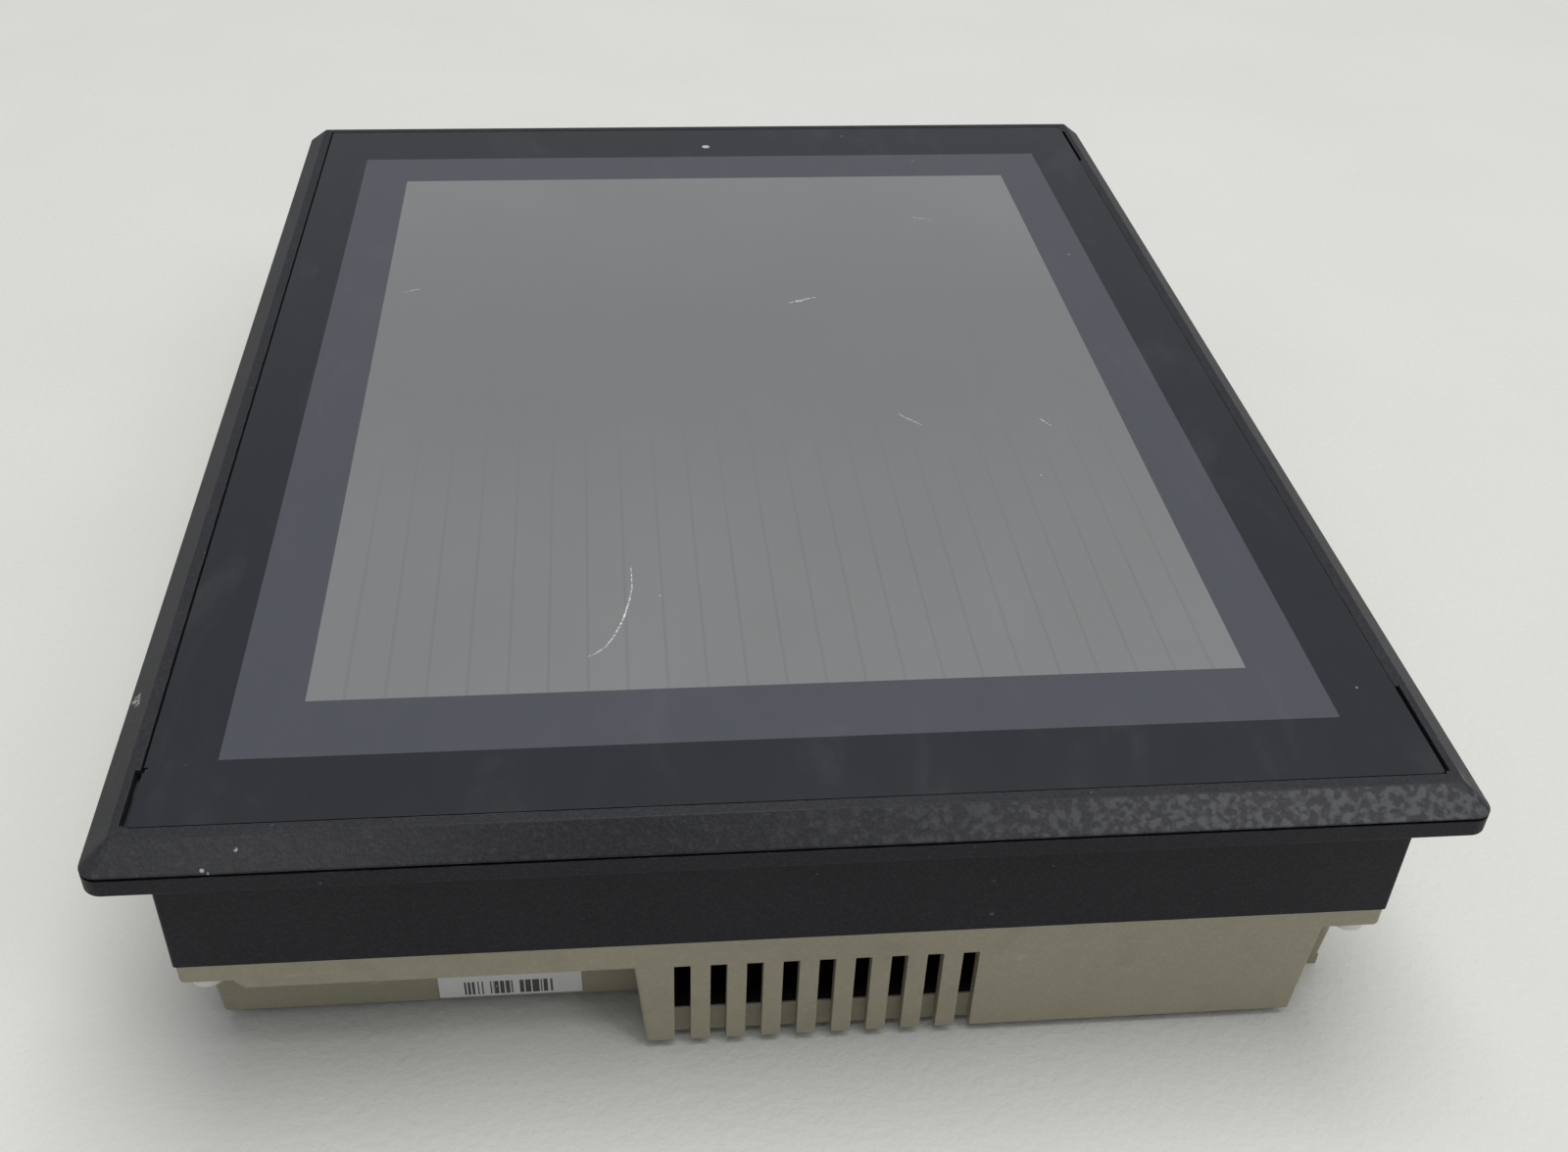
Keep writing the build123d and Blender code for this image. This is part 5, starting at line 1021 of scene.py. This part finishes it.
def fine_scratches():
    """The scratches and rubbed marks on the front sheet, as slivers just proud of it."""
    shape = Shape()
    z = SHEET_TOP + SCRATCH_PROUD
    for points, wide in SCRATCHES:
        last = len(points) - 1
        widths = []
        for i in range(last + 1):
            taper = math.sin(math.pi * (0.06 + 0.88 * i / last))
            widths.append((wide * taper + 0.02) * MM)
        shape.strip([(x * MM, y * MM, z) for x, y in points], widths, (0, 0, 1), SCRATCH_THICK)
    look = Look("scratched_sheet")
    broken = look.noise(0.5 * MM, 3.0, 0.6)
    look.colour(look.mix(look.step(broken, 0.40, 0.60), SCRATCH_GREY, SCRATCH_WHITE))
    look.roughness(look.total(0.55, look.times(broken, 0.2)))
    look.relief(broken, 0.004 * MM)
    shape.piece("front_scratches", look, "front_sheet")


# rows of small parts: where each starts, how many, and its steps in X and Y, in mm
PART_ROWS = (
    (-48.0, -70.0, 9, 0.0, 3.0),
    (-44.0, -70.0, 9, 0.0, 3.0),
    (-30.0, 78.0, 8, 3.2, 0.0),
    (-6.0, -84.0, 8, 3.2, 0.0),
    (40.0, -10.0, 8, 0.0, 2.8),
)
PART_HALF = 0.7
PART_HEIGHT = 0.6 * MM
PART_END_REACH = 0.8 * MM
PART_END_HALF = 0.32 * MM
PART_END_HEIGHT = 0.64 * MM
PART_BROWN = (0.22, 0.17, 0.11, 1.0)
PART_PALE = (0.4, 0.34, 0.25, 1.0)


def board_small_parts():
    """Rows of small surface-mounted parts beside the chips, each with plated ends."""
    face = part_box("main_board")[0].z
    bodies, ends = Shape(), Shape()
    for row_x, row_y, count, step_x, step_y in PART_ROWS:
        for i in range(count):
            x = (row_x + step_x * i) * MM
            y = (row_y + step_y * i) * MM
            long_x, long_y = (1.0, 0.6) if step_y else (0.6, 1.0)
            half_x, half_y = PART_HALF * long_x * MM, PART_HALF * long_y * MM
            bodies.bar((x - half_x, y - half_y, face - PART_HEIGHT), (x + half_x, y + half_y, face),
                       0.05 * MM)
            for side in (-1, 1):
                end_x = x + (side * PART_END_REACH if step_y else 0.0)
                end_y = y + (0.0 if step_y else side * PART_END_REACH)
                ends.bar((end_x - PART_END_HALF, end_y - PART_END_HALF, face - PART_END_HEIGHT),
                         (end_x + PART_END_HALF, end_y + PART_END_HALF, face), 0.08 * MM)
    ceramic = moulded("small_parts", PART_BROWN, PART_PALE, 0.5, 0.2 * MM, 0.01 * MM)
    bodies.piece("board_small_parts", ceramic, "chip_black")
    ends.piece("board_small_part_ends", tin, "screw_steel")


serial_contacts()
network_contacts()
usb_contacts()
shell_springs()
card_contacts()
battery_terminals()
fine_scratches()
board_small_parts()

# ---------------------------------------------------------------- floor, lights and camera
FLOOR_REACH = 6.0
FLOOR_PALE = (0.66, 0.66, 0.63, 1.0)
FLOOR_DULL = (0.61, 0.61, 0.585, 1.0)


def floor_piece():
    reach = FLOOR_REACH
    corners = [(-reach, -reach, 0), (reach, -reach, 0), (reach, reach, 0), (-reach, reach, 0)]
    mesh = bpy.data.meshes.new("floor")
    mesh.from_pydata(corners, [], [(0, 1, 2, 3)])
    floor = bpy.data.objects.new("floor", mesh)
    bpy.context.collection.objects.link(floor)
    look = Look("floor")
    cloud = look.noise(60 * MM, 3.0)
    fine = look.noise(1.6 * MM, 3.0, 0.6)
    look.colour(look.mix(cloud, FLOOR_PALE, FLOOR_DULL))
    look.roughness(look.total(0.6, look.times(fine, 0.1)))
    look.relief(fine, 0.25 * MM)
    mesh.materials.append(look.material)


floor_piece()


def soft_light(name, place, width, depth, power, tint):
    """A rectangular lamp aimed at the object's foot, in metres and watts."""
    data = bpy.data.lights.new(name, "AREA")
    data.shape = "RECTANGLE"
    data.size = width
    data.size_y = depth
    data.energy = power
    data.color = tint
    lamp = bpy.data.objects.new(name, data)
    lamp.location = place
    lamp.rotation_mode = "QUATERNION"
    lamp.rotation_quaternion = (-Vector(place)).to_track_quat("-Z", "Y")
    bpy.context.collection.objects.link(lamp)


soft_light("ceiling_light", (0.2, 0.05, 2.3), 2.0, 1.6, 48, (1.0, 0.99, 0.965))
soft_light("front_light", (1.1, -1.05, 1.55), 0.7, 0.7, 5, (0.98, 0.99, 1.0))

SKY_COLOUR = (0.90, 0.93, 0.97, 1.0)
SKY_STRENGTH = 0.36

world = bpy.data.worlds.new("studio")
world.use_nodes = True
sky = world.node_tree.nodes["Background"]
sky.inputs["Color"].default_value = SKY_COLOUR
sky.inputs["Strength"].default_value = SKY_STRENGTH
bpy.context.scene.world = world
bpy.context.scene.view_settings.view_transform = "Standard"

CAMERA_PLACE = Vector((-22.67, -261.27, 193.49)) * MM
CAMERA_AZIMUTH = math.radians(6.044)
CAMERA_ELEVATION = math.radians(37.92)
CAMERA_RIGHT = Vector((0.9960, -0.0857, 0.0252))
CAMERA_SENSOR = 36.0           # mm
CAMERA_LENS = 38.423           # mm
CAMERA_SHIFT = (0.01609, 0.03541)


def add_camera():
    data = bpy.data.cameras.new("camera")
    data.sensor_width = CAMERA_SENSOR
    data.lens = CAMERA_LENS
    data.shift_x, data.shift_y = CAMERA_SHIFT
    data.clip_start = 0.01
    data.clip_end = 50.0
    ahead = Vector((
        math.sin(CAMERA_AZIMUTH) * math.cos(CAMERA_ELEVATION),
        math.cos(CAMERA_AZIMUTH) * math.cos(CAMERA_ELEVATION),
        -math.sin(CAMERA_ELEVATION),
    ))
    right = (CAMERA_RIGHT - ahead * CAMERA_RIGHT.dot(ahead)).normalized()
    up = right.cross(ahead)
    camera = bpy.data.objects.new("camera", data)
    camera.matrix_world = Matrix((right, up, -ahead)).transposed().to_4x4()
    camera.location = CAMERA_PLACE
    bpy.context.collection.objects.link(camera)
    bpy.context.scene.camera = camera


add_camera()
